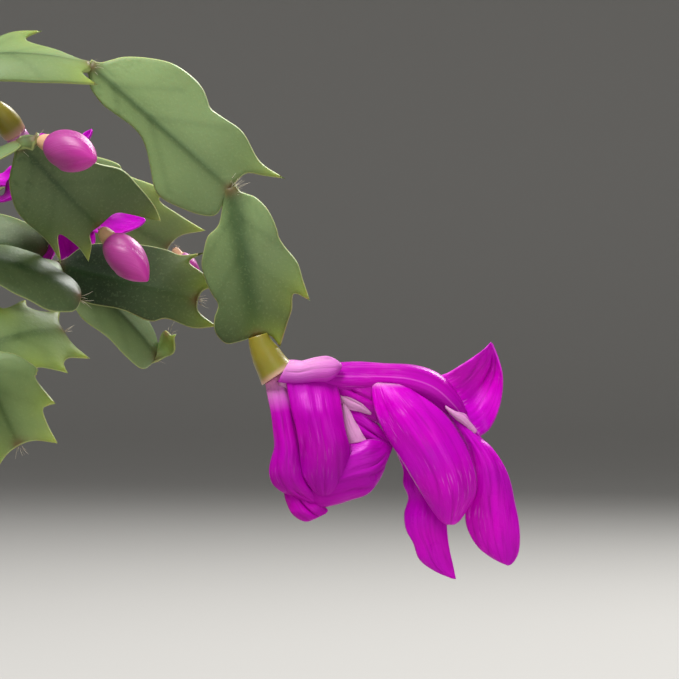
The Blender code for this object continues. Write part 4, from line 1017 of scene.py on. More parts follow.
def folds(across, travel, seed):
    """Soft swells, and narrow creases that run from root to tip, drift sideways and fade out."""
    places = np.stack([across.ravel(), travel.ravel()], 1)
    swell = [noise.noise((x / 4.2, y / 17, seed)) for x, y in places]
    crease = np.zeros(across.shape)
    for number in range(5):
        row = seed + 3.7 * number
        drift = [1.6 * noise.noise((y / 13, row, 1)) for y in travel[:, 0]]
        depth = [max(0, 1.4 * noise.noise((y / 9, row, 2)) + 0.35) for y in travel[:, 0]]
        place = (number - 2 + 0.5 * noise.noise((row, 3, 3))) * 2.4
        crease += np.array(depth)[:, None] * near(across - place - np.array(drift)[:, None], 0.34)
    return np.array(swell).reshape(across.shape), np.clip(crease, 0, 1)


def petal_shell(left, right, bulge, out, rng, pale=0.15, pleats=0.35, columns=17, lit_edge=False):
    """A petal between two edges. It stands proud by `bulge` along `out` in its middle."""
    rows = len(left)
    along = np.linspace(0, 1, rows)[:, None] * np.ones(columns)
    across = np.ones((rows, 1)) * np.linspace(-1, 1, columns)
    width = np.linalg.norm(right - left, axis=1)[:, None]
    wave, turns = rng.uniform(0, math.tau), rng.uniform(1.2, 2.0)
    proud = bulge[:, None] * (1 - across ** 2)
    if not lit_edge:
        proud = proud - 0.5 * near(across, 0.13) * np.sin(along * math.pi) * np.minimum(width / 8, 1)
    flutter = 0.5 * np.sin(along * math.tau * turns * 1.6 + wave)
    proud = proud + flutter * across ** 4 * np.minimum(width / 8, 1)
    middle = (left + right) / 2
    travel = np.concatenate([[0], np.cumsum(np.linalg.norm(np.diff(middle, axis=0), axis=1))])[:, None]
    swell, crease = folds(across * width / 2, travel * np.ones(columns), rng.uniform(0, 90))
    inside = np.clip(1.15 - across ** 6, 0, 1) * np.sin(along * math.pi) ** 0.4 * np.minimum(width / 6, 1)
    proud = proud + pleats * (2.2 * swell - 1.0 * crease) * inside
    grid = (left[:, None] * (1 - across[..., None]) + right[:, None] * (1 + across[..., None])) / 2
    grid = grid + proud[..., None] * out[:, None]
    fade = np.clip(1 - along / max(pale, 1e-3), 0, 1) ** 1.2 if pale < 1 else 0 * along + 1
    if lit_edge:
        fade = np.clip(0.62 - 0.62 * across, 0, 1) * np.clip(1.5 - along, 0, 1)
    # The `rib` value of a petal is its creases, where the colour gets painted shade
    return sheet_shell(grid, along=along, across=across, pale=fade, rib=crease * inside,
                       shade=rng.random())


# %% [markdown]
# ## The large bloom
#
# This flower is past its best: the first ring of petals has folded into a loose pouch, the tube runs
# out level from it, and the last petals hang or stand from its mouth. Each petal is given by its two
# edges as the camera sees them, with the depth of its middle and how far it stands proud towards the
# camera. The petals on the far side are laid out the same way, so that the flower is whole all round.

# %% Petals of the large bloom
# (left x, left y, right x, right y) in the picture, then depth and how far the middle stands proud
FRONT = {
    "collar": (0.9, [(289, 361, 277, 382, -3.6, 1.0), (300, 361, 297, 384, -4.0, 1.3),
                     (316, 357, 314, 382, -4.2, 1.6), (328, 356, 329, 381, -4.3, 1.6),
                     (337, 360, 336, 375, -4.4, 1.2), (342, 366, 341, 368, -4.4, 0.2)]),
    "pouch_left": (0.25, [(265, 383, 288, 368, -0.6, 0.5), (268, 399, 290, 390, -2.0, 1.4),
                         (271, 414, 295, 410, -3.0, 2.4), (273, 431, 299, 430, -3.5, 2.9),
                         (274, 447, 303, 450, -4.0, 3.2), (270, 462, 306, 468, -4.0, 3.5),
                         (269, 474, 310, 482, -4.0, 3.2), (274, 486, 318, 492, -4.0, 2.2),
                         (289, 495, 322, 499, -4.0, 1.1), (310, 503, 318, 503, -4.0, 0.1)]),
    "pouch_middle": (0.02, [(284, 370, 334, 375, -2.6, 0.8), (287, 390, 340, 394, -4.0, 1.9),
                           (291, 411, 343, 412, -6.0, 3.4), (296, 430, 346, 430, -6.6, 3.8),
                           (299, 448, 350, 446, -6.6, 3.9), (300, 462, 350, 462, -6.4, 3.6),
                           (303, 476, 346, 478, -6.0, 3.0), (311, 488, 338, 491, -5.6, 1.8),
                           (321, 497, 329, 498, -5.4, 0.2)]),
    "pouch_right": (0.05, [(316, 458, 300, 495, -2.8, 1.6), (334, 449, 318, 507, -3.8, 3.0),
                           (348, 444, 336, 505, -4.2, 3.4), (360, 441, 352, 500, -4.2, 3.2),
                           (371, 439, 368, 494, -4.0, 2.8), (381, 441, 378, 482, -3.6, 2.0),
                           (388, 444, 386, 464, -3.2, 1.0), (393, 447, 391, 449, -3.0, 0.1)]),
    "pouch_foot": (0.05, [(283, 488, 300, 486, -2.0, 1.0), (286, 502, 313, 498, -3.0, 1.6),
                          (293, 515, 324, 506, -3.4, 1.8), (304, 521, 328, 511, -3.4, 1.0),
                          (316, 518, 320, 515, -3.2, 0.2)]),
    "under": (0.05, [(326, 371, 330, 388, -1.8, 0.3), (340, 373, 340, 396, -2.2, 0.8),
                     (354, 376, 354, 407, -2.5, 1.0), (368, 380, 367, 417, -2.7, 1.0),
                     (382, 384, 381, 425, -2.7, 0.8), (395, 389, 392, 432, -2.5, 0.1)]),
    "inner_pale_top": (1.2, [(334, 386, 338, 398, -1.8, 0.6), (350, 390, 348, 409, -2.6, 1.0),
                             (364, 401, 361, 412, -3.0, 0.8), (372, 413, 371, 415, -3.2, 0.1)]),
    "inner_pale_low": (1.2, [(343, 404, 346, 405, -2.6, 0.2), (343, 420, 354, 419, -3.2, 0.8),
                             (345, 433, 361, 431, -3.6, 1.0), (350, 444, 367, 441, -3.8, 0.6)]),
    "inner": (0.05, [(341, 402, 339, 420, -1.0, 0.8), (360, 408, 354, 438, -1.6, 1.4),
                     (376, 422, 370, 446, -2.0, 1.2), (387, 438, 384, 448, -2.2, 0.4),
                     (393, 447, 392, 449, -2.4, 0.1)]),
    "hanging": (0.04, [(372, 382, 402, 384, -3.5, 1.2), (372, 397, 417, 393, -5.0, 2.6),
                       (376, 415, 434, 404, -6.2, 3.5), (384, 433, 449, 418, -7.0, 4.0),
                       (394, 449, 462, 437, -7.4, 4.3), (404, 465, 472, 458, -7.4, 4.5),
                       (413, 480, 477, 478, -7.2, 4.3), (422, 495, 476, 495, -6.8, 3.9),
                       (431, 509, 468, 509, -6.4, 2.7), (440, 520, 459, 521, -6.0, 1.2),
                       (448, 525, 452, 525, -5.8, 0.1)]),
    "standing": (0.05, [(432, 378, 478, 438, 0.5, 0.5), (447, 373, 489, 430, 1.2, -2.0),
                        (459, 366, 497, 415, 1.8, -2.8), (470, 359, 502, 397, 2.2, -2.8),
                        (480, 352, 503, 378, 2.4, -2.0), (486, 347, 499, 361, 2.4, -0.9),
                        (491, 342, 492, 343, 2.4, -0.1)]),
    "right": (0.05, [(445, 406, 466, 414, -2.0, 0.8), (454, 424, 480, 437, -2.6, 1.9),
                     (466, 446, 492, 448, -3.0, 2.5), (472, 466, 504, 465, -3.0, 2.9),
                     (472, 484, 511, 483, -2.8, 2.9), (468, 501, 515, 502, -2.6, 2.7),
                     (465, 516, 519, 522, -2.4, 2.5), (468, 531, 520, 541, -2.2, 2.2),
                     (477, 546, 518, 555, -2.0, 1.7), (490, 556, 512, 564, -2.0, 0.8),
                     (501, 562, 506, 565, -2.0, 0.1)]),
    "right_fold": (1.2, [(445, 406, 446, 408, -3.8, 0.1), (454, 411, 454, 417, -4.4, 0.6),
                         (465, 417, 463, 424, -4.2, 0.6), (477, 431, 475, 434, -3.8, 0.1)]),
    "low": (0.05, [(396, 452, 432, 450, 1.0, 1.0), (403, 470, 438, 472, 1.0, 1.8),
                   (403, 484, 442, 492, 0.8, 2.2), (408, 498, 446, 510, 0.6, 2.4),
                   (404, 514, 447, 524, 0.4, 2.6), (406, 530, 448, 538, 0.4, 2.2),
                   (413, 543, 450, 551, 0.4, 1.8), (419, 559, 453, 564, 0.4, 1.2),
                   (434, 570, 455, 574, 0.4, 0.5), (454, 579, 456, 579, 0.4, 0.1)]),
}
BACK = {
    "back_hanging": (0.05, [(385, 382, 412, 386, 3.5, -1.6), (392, 402, 432, 402, 6.0, -3.6),
                            (400, 424, 450, 424, 7.6, -4.6), (410, 448, 464, 450, 8.4, -5.0),
                            (420, 472, 470, 476, 8.6, -4.4), (432, 494, 466, 498, 8.2, -2.6),
                            (446, 512, 452, 513, 7.8, -0.2)]),
    "back_pouch_one": (0.2, [(268, 386, 300, 378, 1.5, -1.0), (273, 404, 312, 402, 3.6, -3.0),
                             (276, 430, 322, 428, 5.4, -4.2), (278, 454, 326, 456, 6.4, -4.4),
                             (282, 476, 324, 480, 6.4, -3.2), (296, 493, 312, 495, 6.0, -0.6)]),
    "back_pouch_two": (0.15, [(302, 382, 334, 382, 3.2, -1.2), (308, 404, 344, 402, 4.8, -3.0),
                              (316, 430, 354, 428, 6.0, -3.8), (322, 454, 362, 452, 6.4, -3.6),
                              (334, 476, 366, 472, 6.0, -2.2), (352, 486, 356, 486, 5.8, -0.2)]),
    "back_collar": (0.9, [(288, 363, 280, 382, 3.4, -1.0), (304, 362, 300, 384, 4.0, -1.5),
                          (320, 360, 318, 384, 4.2, -1.6), (336, 368, 335, 372, 4.4, -0.2)]),
}
TOWARDS_CAMERA = np.array([0.0, -1.0, 0.0])
# How much darker the colour of these petals is made
DARKENED_PETALS = {"pouch": 0.3, "inner": 0.2, "under": 0.35}


def seen_petal(name, pale, rows, count, rng):
    """A petal whose edges are given as the camera sees them."""
    made = evenly(rows, count)
    left = np.array([seen(row[0], row[1], row[4]) for row in made])
    right = np.array([seen(row[2], row[3], row[4]) for row in made])
    out = np.repeat(TOWARDS_CAMERA[None], count, axis=0)
    made = petal_shell(left, right, made[:, 5], out, rng, pale, 0.35, 31, "collar" in name)
    made["values"]["age"] = DARKENED_PETALS.get(name.split("_")[0], 0)
    return made


def dented(made, centres, sides):
    """Soft lengthwise dents in a tube."""
    centre = np.repeat(centres, sides, axis=0)
    away = made["points"] - centre
    far = np.maximum(np.linalg.norm(away, axis=1), 1e-9)[:, None]
    places = np.stack([centre[:, 0] / 14, *(away / far)[:, 1:].T * 1.3], 1)
    made["points"] += away / far * np.array([[0.9 * noise.noise(place)] for place in places])
    return made


def large_bloom(number):
    rng = random.Random(7)
    shells = [seen_petal(name, pale, rows, 64, rng) for name, (pale, rows) in {**FRONT, **BACK}.items()]
    top = [(280, 376, 3.6), (293, 377, 4.2), (312, 378, 4.3), (345, 379, 4.3), (380, 379, 4.4),
           (410, 382, 4.7), (432, 390, 4.6), (450, 405, 3.6), (462, 418, 2.0)]
    line = evenly([(*seen(x, y), radius) for x, y, radius in top], 60)
    along = np.linspace(0, 1, 60)
    # The tube's `age` value makes its colour darker
    shells.append(dented(tube(line[:, :3], line[:, 3], 28, along=along, shade=0.4, age=0.3,
                              pale=np.clip(1 - along / 0.24, 0, 1)), line[:, :3], 28))
    make_piece("large_bloom", shells, [PETAL], ["bloom_%02d_petals" % number])
    edges = [(248, 336, 268, 335), (249, 347, 273, 343), (252, 360, 281, 352), (258, 375, 287, 358),
             (264, 388, 292, 362)]
    made = evenly(edges, 30)
    left = np.array([seen(row[0], row[1]) for row in made])
    right = np.array([seen(row[2], row[3]) for row in made])
    shells = [tube((left + right) / 2, np.linalg.norm(right - left, axis=1) / 2, 28,
                   pale=np.clip(np.linspace(-5.5, 1, 30), 0, 1))]
    make_piece("large_ovary", shells, [OVARY], ["bloom_%02d_ovary" % number])


# %% [markdown]
# ## The other blooms
#
# They follow one rule, with the same numbers as the solids: a tube, five petals half way along it
# and five round its mouth, which flare, curl back and sag with age. Fresh blooms show a fan of
# white stamens with yellow heads round a long magenta style.

# %% Blooms by rule
LOWER = {"length": 23, "half": 5.4, "flare": 36, "curl": 95, "at": 8.4, "radius": 3.8, "turn": 0.5}
MOUTH = {"length": 29, "half": 6.9, "flare": 30, "curl": 78, "at": 28.6, "radius": 4.4, "turn": 1.5}
TUBE_START, TUBE_LENGTH = 10.6, 29.0
WITHERED = {2: 0.72}


def frame_of(axis):
    """Two directions square to an axis, the first of them level."""
    side = axis.cross(UP).normalized()
    return side, axis.cross(side).normalized()


def ruled_petal(root, axis, out, kind, sag, rng, withered=1):
    """A petal that leaves the tube, curls back and sags."""
    across = axis.cross(out).normalized()
    angle = math.radians(kind["flare"] + rng.uniform(-5, 5))
    length = kind["length"] * rng.uniform(0.88, 1.08) * withered
    point, steps = root, 12
    rows = []
    for k in range(steps + 1):
        share = k / steps
        width = max(0.12, kind["half"] * min(1, 0.35 + 2.2 * share) * (1 - share ** 3.2) ** 0.8)
        run = (axis * math.cos(angle) + out * math.sin(angle) - Vector((0, 0, sag * share))).normalized()
        rows.append((*(point - across * width), *(point + across * width), *run.cross(across)))
        point = point + run * length / steps
        angle += math.radians(kind["curl"]) / steps
    made = evenly(rows, 26)
    bulge = 1.6 * np.sin(np.linspace(0, 1, 26) * math.pi) ** 0.7
    return petal_shell(made[:, :3], made[:, 3:6], bulge, made[:, 6:], rng, 0.18, 0.3, 11)


def ruled_bloom(number, start, axis, sag, fresh):
    start, axis, rng = Vector(start), Vector(axis).normalized(), random.Random(number)
    side, other = frame_of(axis)
    base = start + axis * TUBE_START
    shells = []
    for kind in (LOWER, MOUTH):
        for k in range(5):
            turn = math.tau * (2 * k + kind["turn"]) / 10
            out = side * math.cos(turn) + other * math.sin(turn)
            root = base + axis * (kind["at"] - 1.5) + out * (kind["radius"] - 0.9)
            shells.append(ruled_petal(root, axis, out, kind, sag, rng, WITHERED.get(number, 1)))
    share = np.linspace(0, 1, 24)
    radius = 3.1 + 1.8 * share - 0.5 * np.sin(share * math.pi)
    radius[-1] = 3.6
    line = [base + axis * (TUBE_LENGTH * s) for s in share]
    pale = np.clip(1 - share / 0.35, 0, 1)
    shells.append(tube(line, radius, 24, along=share, shade=rng.random(), pale=pale))
    make_piece("bloom_%02d" % number, shells, [PETAL], ["bloom_%02d_petals" % number])
    profile = evenly([(0.0, 1.6), (1.2, 2.3), (3.5, 3.2), (7.0, 3.7), (10.4, 3.4)], 20)
    shells = [tube([start + axis * a for a, _ in profile], profile[:, 1], 24,
                   pale=np.clip(profile[:, 0] / 10 - 0.75, 0, 1) * 3)]
    make_piece("ovary_%02d" % number, shells, [OVARY], ["bloom_%02d_ovary" % number])
    if fresh:
        make_piece("stamens_%02d" % number, stamen_shells(base + axis * TUBE_LENGTH, axis, rng),
                   [STAMEN], ["bloom_%02d_stamens" % number])


def stamen_shells(mouth, axis, rng):
    """A fan of threads with heads, round a longer style with a lobed end."""
    side = axis.cross(UP).normalized()
    top = side.cross(axis).normalized()
    share = np.linspace(0, 1, 12)
    bend = [mouth + axis * (28.5 * s) + top * (1.5 * s * s) for s in share]
    style = np.where(share > 0.93, 1.15, 0.62)
    shells = [tube(bend, style, 10, shade=1.0)]
    for k in range(18):
        spread = (k / 17 - 0.5) * 2
        reach = rng.uniform(14.5, 18.0)
        root = mouth + side * spread * 2.2 + top * rng.uniform(0.6, 2.0) - axis * 2
        run = (axis + side * spread * 0.3 + top * (0.36 - 0.2 * spread ** 2 + rng.uniform(-0.08, 0.08)))
        line = [root + run.normalized() * (reach + 2) * s + top * s * s * 0.8 for s in share]
        shells.append(tube(line, 0.24 - 0.08 * share, 6))
        head = [line[-1] + run.normalized() * d for d in np.linspace(-0.9, 1.3, 6)]
        shells.append(tube(head, (0.2, 0.62, 0.8, 0.78, 0.55, 0.12), 8, pale=1.0))
    return shells


# %% [markdown]
# ## Buds
#
# A bud is a small peach-coloured ovary and, above a fine ledge, a pointed pink body of petals that
# are still wrapped round each other. The ledge of each outer petal winds over the body, so the
# radius steps a little along three slanting lines.

# %% Buds by rule
BUD_PROFILE = [(0.0, 1.5), (0.7, 2.0), (2.6, 2.5), (4.9, 2.9), (5.3, 3.4), (6.6, 4.3), (8.6, 5.2),
               (11.4, 5.8), (14.2, 5.9), (17.4, 5.2), (20.4, 3.9), (23.0, 2.1), (24.6, 0.7), (25.0, 0.12)]


def bud(number, start, axis, scale):
    start, axis, rng = Vector(start), Vector(axis).normalized(), random.Random(300 + number)
    profile = evenly(BUD_PROFILE, 56) * scale
    sides = 48
    made = tube([start + axis * a for a in profile[:, 0]], profile[:, 1], sides)
    share = np.repeat(profile[:, 0] / profile[-1, 0], sides)
    turn = np.tile(np.arange(sides) / sides, len(profile))
    body = np.clip((share - 0.21) / 0.05, 0, 1) * np.clip((1 - share) / 0.12, 0, 1)
    wound = (turn * 3 + share * rng.uniform(0.8, 1.3) + rng.random()) % 1
    lift = body * scale * 0.42 * (np.minimum(wound / 0.12, 1) * (1 - wound) - 0.35)
    centre = np.repeat(np.array([start + axis * a for a in profile[:, 0]]), sides, axis=0)
    away = made["points"] - centre
    away /= np.maximum(np.linalg.norm(away, axis=1), 1e-9)[:, None]
    made["points"] += away * lift[:, None]
    made["values"] = {"along": share, "across": wound * 2 - 1, "shade": rng.random(),
                      "pale": np.clip((0.235 - share) / 0.03, 0, 1)}
    make_piece("flower_bud_%02d" % number, [made], [BUD], ["bud_%02d" % number])


# %% [markdown]
# ## Where the flowers hang
#
# The ovaries and buds of the CAD part are round solids, so the frame says where each flower starts,
# which way it hangs and how long it is. A bloom is fresh if it has stamens there. How far its petals
# sag is looked up too, by the rule that the CAD part bends them with.

# %% Read the flowers from the frame
BUD_LENGTH = 25
SAG_AT_FIRST = {"fresh": 0.06, "faded": 0.55}
LESS_SAG = 0.9
PETAL_SHARES = (0.0, 0.35, 0.72, 1.0)
PETAL_SWING = 5
PETAL_SHORTEST, PETAL_LONGEST = 0.88, 1.08
SOLID_PETAL_HALF = 0.4
SOLID_ROOT_RADIUS = 4
SECTORS = 10
OTHER_PETALS = 9


def without_repeats(places):
    """The places that lie apart. A corner comes once for each of its faces."""
    kept = []
    for place in places:
        if all((place - other).length > SAME_PLACE for other in kept):
            kept.append(place)
    return kept


def line_of(node):
    """Where a round solid starts, its direction and its length, in millimetres.

    Its corners lie evenly round its axis, so the axis is the way in which they spread most. It starts
    at the end that is nearer to a stem."""
    places = [vertex.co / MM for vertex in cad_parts[node].data.vertices]
    corners = np.array(without_repeats(places), float)
    middle = corners.mean(axis=0)
    axis = np.linalg.eigh(np.cov((corners - middle).T))[1][:, -1]
    along = (corners - middle) @ axis
    ends = [Vector(middle + axis * reach) for reach in (along.min(), along.max())]
    start, end = sorted(ends, key=lambda place: off_by(stem_corners, place))
    run = end - start
    return start, run.normalized(), run.length


def sag_of(number, start, axis, fresh):
    """How far the petals of a bloom sag.

    The CAD part made the petals sag a tenth less, with other random swings, until none of them
    crossed. The sag that it kept is the first that puts the end of its first petal at a corner."""
    petals = corner_tree(["bloom_%02d_petals" % number])
    rng = random.Random(number)
    side, other = frame_of(axis)
    turn = math.pi / SECTORS
    out = side * math.cos(turn) + other * math.sin(turn)
    across = axis.cross(out).normalized()
    root = start + axis * (TUBE_START + LOWER["at"]) + out * SOLID_ROOT_RADIUS * math.cos(turn)
    sag = SAG_AT_FIRST["fresh" if fresh else "faded"]
    for _ in range(ATTEMPTS):
        angle = math.radians(LOWER["flare"] + rng.uniform(-PETAL_SWING, PETAL_SWING))
        length = LOWER["length"] * rng.uniform(PETAL_SHORTEST, PETAL_LONGEST)
        end = root
        for before, share in zip(PETAL_SHARES, PETAL_SHARES[1:]):
            run = (axis * math.cos(angle) + out * math.sin(angle) - UP * sag * share).normalized()
            end = end + run * length * (share - before)
            angle += math.radians(LOWER["curl"]) * (share - before)
        corner = end + across.cross(run).normalized() * SOLID_PETAL_HALF
        if off_by(petals, corner) < SAME_PLACE:
            break
        # Each other petal takes a swing and a length
        for _ in range(2 * OTHER_PETALS):
            rng.random()
        sag *= LESS_SAG
    # In hundredths, and 0.495 counts as 0.49
    return round(round(sag, 4), 2)


# %% Build every flower
# The first two blooms and three buds are on the stems given one by one, so they come first
PLACED_BLOOMS, PLACED_BUDS = 2, 3


def build_bloom(number):
    start, axis, _ = line_of("bloom_%02d_ovary" % number)
    fresh = "bloom_%02d_stamens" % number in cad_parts
    sag = sag_of(number, start, axis, fresh)
    ruled_bloom(number, to_places(start, 2), to_places(axis, 3), sag, fresh)


def build_bud(number):
    start, axis, length = line_of("bud_%02d" % number)
    bud(number, to_places(start, 2), to_places(axis, 3), round(length / BUD_LENGTH, 2))


blooms = sum(node.endswith("_ovary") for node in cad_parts)
buds = sum(node.startswith("bud_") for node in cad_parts)
large_bloom(1)
for number in range(2, PLACED_BLOOMS + 1):
    build_bloom(number)
for number in range(1, PLACED_BUDS + 1):
    build_bud(number)
for number in range(PLACED_BLOOMS + 1, blooms + 1):
    build_bloom(number)
for number in range(PLACED_BUDS + 1, buds + 1):
    build_bud(number)
print("blooms:", blooms, "buds:", buds)

# %% [markdown]
# ## Pot and potting mix
#
# The pot isn't in the photograph, so it is a common clay one: turned, with a band round its rim,
# faint rings from the wheel, a rounded lip and a few pale lime blooms. Its profile is the solid's
# own, with its corners rounded, spun in mesh code. A spun profile is how the real one is made too.

# %% Clay, soil and grit
def clay_finish():
    finish = Finish("fired_clay", "B56A45", Specular_IOR_Level=0.3)
    finish.lay("9C5535", finish.effect(BLOTCHES, Per_metre=26, Edge=0.4), 0.7)
    finish.lay("D0A286", finish.effect(BLOTCHES, Per_metre=34, Edge=0.5), 0.28)
    finish.lay("7D432A", finish.ramp(finish.effect(GRAIN, Per_metre=800, Lumps=0), 0.56, 0.66), 0.35)
    finish.lay("E0C9B2", finish.value("edge"), 0.35)
    finish.roughness(0.78, 0.92, finish.effect(BLOTCHES, Per_metre=90, Edge=0.5))
    finish.bump(finish.effect(GRAIN, Per_metre=620, Lumps=1.5), 0.35, 0.8)
    return finish.done()


def crumb_finish(name, colour, other, gloss=0.9):
    finish = Finish(name, colour, Specular_IOR_Level=0.3)
    finish.lay(other, finish.effect(BLOTCHES, Per_metre=300, Edge=0.3), 0.8)
    finish.roughness(gloss - 0.1, gloss, finish.effect(BLOTCHES, Per_metre=500, Edge=0.5))
    finish.bump(finish.effect(GRAIN, Per_metre=900, Lumps=1.5), 0.6, 1.0)
    return finish.done()


CLAY = clay_finish()
SOIL = crumb_finish("potting_soil", "3B2A1E", "1E1510")
BARK = crumb_finish("bark_chips", "6A4A30", "3A2618")
GRIT = crumb_finish("white_grit", "DCD8CC", "B9B3A4", 0.8)

# %% Turn the pot
POT_PROFILE = [(0, 0), (40, 0), (43.3, 0.4), (44.2, 1.8), (60.6, 91.0), (61.4, 92.0), (63.6, 92.4),
               (64.1, 93.4), (65.0, 115.6), (64.7, 117.2), (63.4, 118.0), (61.6, 117.8), (60.2, 116.6),
               (57.2, 92.0), (39.4, 6.2), (38.0, 5.0), (0, 5.0)]
POT_SIDES = 120
LIP_HEIGHT, BAND_RADIUS, BAND_HEIGHT = 117.6, 64.4, 93
WELD = 0.05
DRAIN_HOLES, DRAIN_CIRCLE, DRAIN_RADIUS, DRAIN_TURN = 4, 25, 5, 0.46
DRILL_SIDES, DRILL_LENGTH, DRILL_HEIGHT = 32, 20, 2


def turned_shell(profile, sides, ripple):
    """Spin a closed profile, with a ripple that depends on height and turn."""
    points, faces = [], []
    for radius, height in profile:
        for k in range(sides):
            turn = math.tau * k / sides
            r = radius + ripple(radius, height, turn)
            points.append((r * math.cos(turn), r * math.sin(turn), height))
    for row in range(len(profile) - 1):
        for k in range(sides):
            a, b = row * sides + k, row * sides + (k + 1) % sides
            faces.append((a, b, b + sides, a + sides))
    return points, faces


def between(profile, spacing):
    """The same profile with points at most a spacing apart."""
    line = [profile[0]]
    for one, two in zip(profile, profile[1:]):
        count = max(1, round(math.dist(one, two) / spacing))
        line += [tuple(a + (b - a) * k / count for a, b in zip(one, two)) for k in range(1, count + 1)]
    return line


def wheel_rings(radius, height, turn):
    if radius < 30 or height < 3:
        return 0
    return 0.10 * math.sin(height * 1.05) + 0.07 * noise.noise((height * 0.2, math.cos(turn), math.sin(turn)))


profile = between([(max(r, 0.01), z) for r, z in POT_PROFILE], 2.2)
points, faces = turned_shell(profile, POT_SIDES, wheel_rings)
height = np.array([p[2] for p in points])
radius = np.hypot(*np.array(points)[:, :2].T)
lip = near(height - LIP_HEIGHT, 1.0)
band_edge = near(radius - BAND_RADIUS, 0.5) * near(height - BAND_HEIGHT, 1.2)
pot_shell = shell(points, faces, edge=lip + band_edge)
pot = make_piece("clay_pot", [pot_shell], [CLAY], ["pot"])
welded = bmesh.new()
welded.from_mesh(pot.data)
bmesh.ops.remove_doubles(welded, verts=welded.verts, dist=WELD * MM)
welded.to_mesh(pot.data)
welded.free()
print("the pot is", round(max(height)), "mm high and", round(2 * max(radius)), "mm wide")

# %% Open the drain holes
drill = bmesh.new()
for k in range(DRAIN_HOLES):
    turn = math.tau * (k + DRAIN_TURN) / DRAIN_HOLES
    at = Vector((math.cos(turn) * DRAIN_CIRCLE, math.sin(turn) * DRAIN_CIRCLE, DRILL_HEIGHT)) * MM
    bmesh.ops.create_cone(drill, segments=DRILL_SIDES, radius1=DRAIN_RADIUS * MM, radius2=DRAIN_RADIUS * MM,
                          depth=DRILL_LENGTH * MM, cap_ends=True, matrix=Matrix.Translation(at))
drill_mesh = bpy.data.meshes.new("drill")
drill.to_mesh(drill_mesh)
drill.free()
drill_object = bpy.data.objects.new("drill", drill_mesh)
bpy.context.scene.collection.objects.link(drill_object)
cut = pot.modifiers.new("drain_holes", "BOOLEAN")
cut.operation, cut.solver, cut.object = "DIFFERENCE", "EXACT", drill_object
pierced = bpy.data.meshes.new_from_object(pot.evaluated_get(bpy.context.evaluated_depsgraph_get()))
pot.modifiers.clear()
pot.data = pierced
bpy.data.objects.remove(drill_object)
print("faces of the pot with its drain holes:", len(pierced.polygons))

# %% Lay the potting mix
FLAT_RADIUS = 42
MIX_SIDES, MIX_ROWS = 96, 44
MIX_RADIUS, UNDERSIDE_RADIUS, UNDERSIDE = 57.4, 56, 96
GRAINS = 900


def soil_height(x, y):
    r = math.hypot(x, y)
    dome = SOIL_TOP + SOIL_CROWN * max(0, 1 - r / FLAT_RADIUS) - 2 * max(0, (r - FLAT_RADIUS) / 16)
    return dome + 0.9 * noise.noise((x * 0.16, y * 0.16, 3)) + 0.5 * noise.noise((x * 0.5, y * 0.5, 7))


def crumb(x, y, size, finish, rng):
    """A rough grain, sunk a little into the mix."""
    solid = bmesh.new()
    bmesh.ops.create_icosphere(solid, subdivisions=1, radius=1)
    stretch = [rng.uniform(0.6, 1.3) for _ in range(3)]
    turn = rng.uniform(0, math.tau)
    points = []
    for v in solid.verts:
        p = Vector(v.co[k] * stretch[k] * (1 + rng.uniform(-0.18, 0.18)) for k in range(3)) * size
        points.append((x + p.x * math.cos(turn) - p.y * math.sin(turn),
                       y + p.x * math.sin(turn) + p.y * math.cos(turn),
                       soil_height(x, y) + p.z * 0.7 + size * 0.2))
    faces = [tuple(v.index for v in face.verts) for face in solid.faces]
    solid.free()
    return shell(points, faces, finish)


rng = random.Random(11)
rings = [(r, 0) for r in np.linspace(0.3, MIX_RADIUS, MIX_ROWS)]
points, faces = turned_shell(rings, MIX_SIDES, lambda radius, height, turn: 0)
points = [(x, y, soil_height(x, y)) for x, y, _ in points]
below = len(points)
faces = [face[::-1] for face in faces]
turns = [math.tau * k / MIX_SIDES for k in range(MIX_SIDES)]
points += [(UNDERSIDE_RADIUS * math.cos(t), UNDERSIDE_RADIUS * math.sin(t), UNDERSIDE) for t in turns]
rim = below - MIX_SIDES
for k in range(MIX_SIDES):
    after = (k + 1) % MIX_SIDES
    faces.append((rim + k, below + k, below + after, rim + after))
faces += [tuple(below + k for k in range(MIX_SIDES))[::-1], tuple(range(MIX_SIDES))]
shells = [shell(points, faces)]
for _ in range(GRAINS):
    r, turn = UNDERSIDE_RADIUS * math.sqrt(rng.random()), rng.uniform(0, math.tau)
    size, finish = (rng.uniform(0.7, 1.9), 0) if rng.random() < 0.7 else (rng.uniform(0.9, 2.8), 1)
    if rng.random() < 0.12:
        size, finish = rng.uniform(0.7, 1.5), 2
    shells.append(crumb(r * math.cos(turn), r * math.sin(turn), size, finish, rng))
make_piece("potting_mix_top", shells, [SOIL, BARK, GRIT], ["potting_mix"])
print("grains on the potting mix:", len(shells) - 1)

# %% [markdown]
# ## Floor and light
#
# The photograph has a dark studio behind the plant. Here the stage is plain and pale: a round floor
# whose edge sweeps up all round, so that no horizon line runs behind the leaves from any side. One
# large soft light hangs high on the left in front, a smaller one behind on the right picks out the
# rims of the leaves, and a weak one fills from the front.

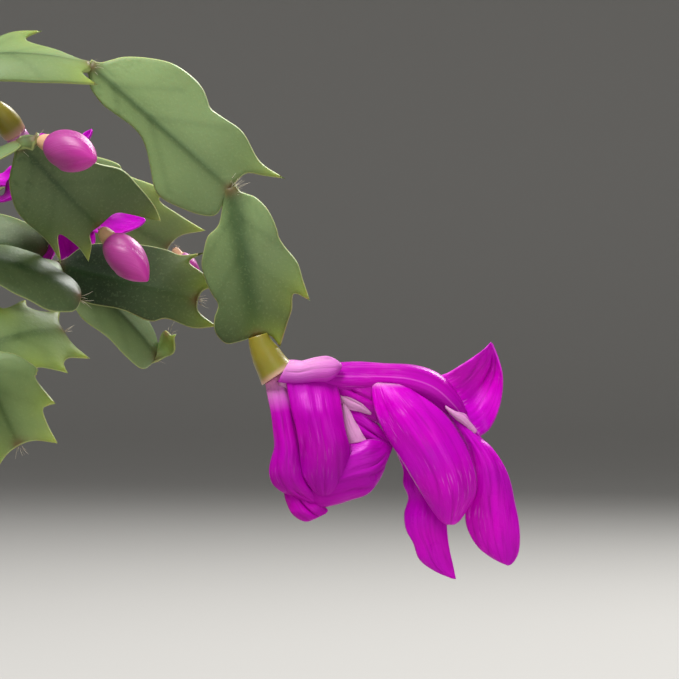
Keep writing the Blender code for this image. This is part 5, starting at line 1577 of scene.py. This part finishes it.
# %% A sweeping floor
FLOOR_PROFILE = [(0.001, 0), (2.0, 0), (4.6, 0), (5.2, 0.08), (5.7, 0.35), (6.0, 0.9), (6.1, 1.8),
                 (6.1, 3.6)]
FLOOR_ROWS, FLOOR_SIDES = 60, 96
LIT_PLACE, LIT_BY_FILL = (0.1, 0, 0.18), (0.1, 0, 0.15)
WORLD_LIGHT = 0.22


def make_stage():
    line = evenly(FLOOR_PROFILE, FLOOR_ROWS)
    points, faces = turned_shell([tuple(p) for p in line], FLOOR_SIDES, lambda radius, height, turn: 0)
    mesh = bpy.data.meshes.new("floor")
    mesh.from_pydata(points, [], faces)
    mesh.polygons.foreach_set("use_smooth", [True] * len(faces))
    floor = bpy.data.objects.new("floor", mesh)
    bpy.context.scene.collection.objects.link(floor)
    finish = Finish("pale_floor", "B6B4B0", Specular_IOR_Level=0.2)
    finish.roughness(0.8, 0.9, finish.effect(BLOTCHES, Per_metre=3, Edge=0.5))
    mesh.materials.append(finish.done())
    floor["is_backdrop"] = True


def soft_light(name, at, aim, size, watts, colour=(1, 1, 1)):
    data = bpy.data.lights.new(name, "AREA")
    data.shape, data.size, data.energy, data.color = "DISK", size, watts, colour
    light = bpy.data.objects.new(name, data)
    light.location = at
    light.rotation_euler = (Vector(aim) - Vector(at)).to_track_quat("-Z", "Y").to_euler()
    bpy.context.scene.collection.objects.link(light)


make_stage()
soft_light("key", (-0.5, -0.7, 2.1), LIT_PLACE, 0.9, 56)
soft_light("rim", (1.0, 1.4, 1.5), LIT_PLACE, 0.6, 36)
soft_light("fill", (1.0, -2.2, 0.7), LIT_BY_FILL, 1.4, 13)
world = bpy.data.worlds.new("studio")
world.use_nodes = True
world.node_tree.nodes["Background"].inputs["Color"].default_value = (1, 1, 1, 1)
world.node_tree.nodes["Background"].inputs["Strength"].default_value = WORLD_LIGHT
bpy.context.scene.world = world
bpy.context.scene.view_settings.view_transform = "Standard"

# %% [markdown]
# ## The size of the whole
#
# The sizes of the solid part's box and of the finer pieces' box are both printed, so that they can
# be compared. The finer pieces have to keep to the solid part's box, apart from a small margin.

# %% Boxes
fine_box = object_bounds()
for label, box in (("CAD", cad_box), ("visual", fine_box)):
    print(label, [round(side * 1000, 1) for side in box[1] - box[0]], "mm")
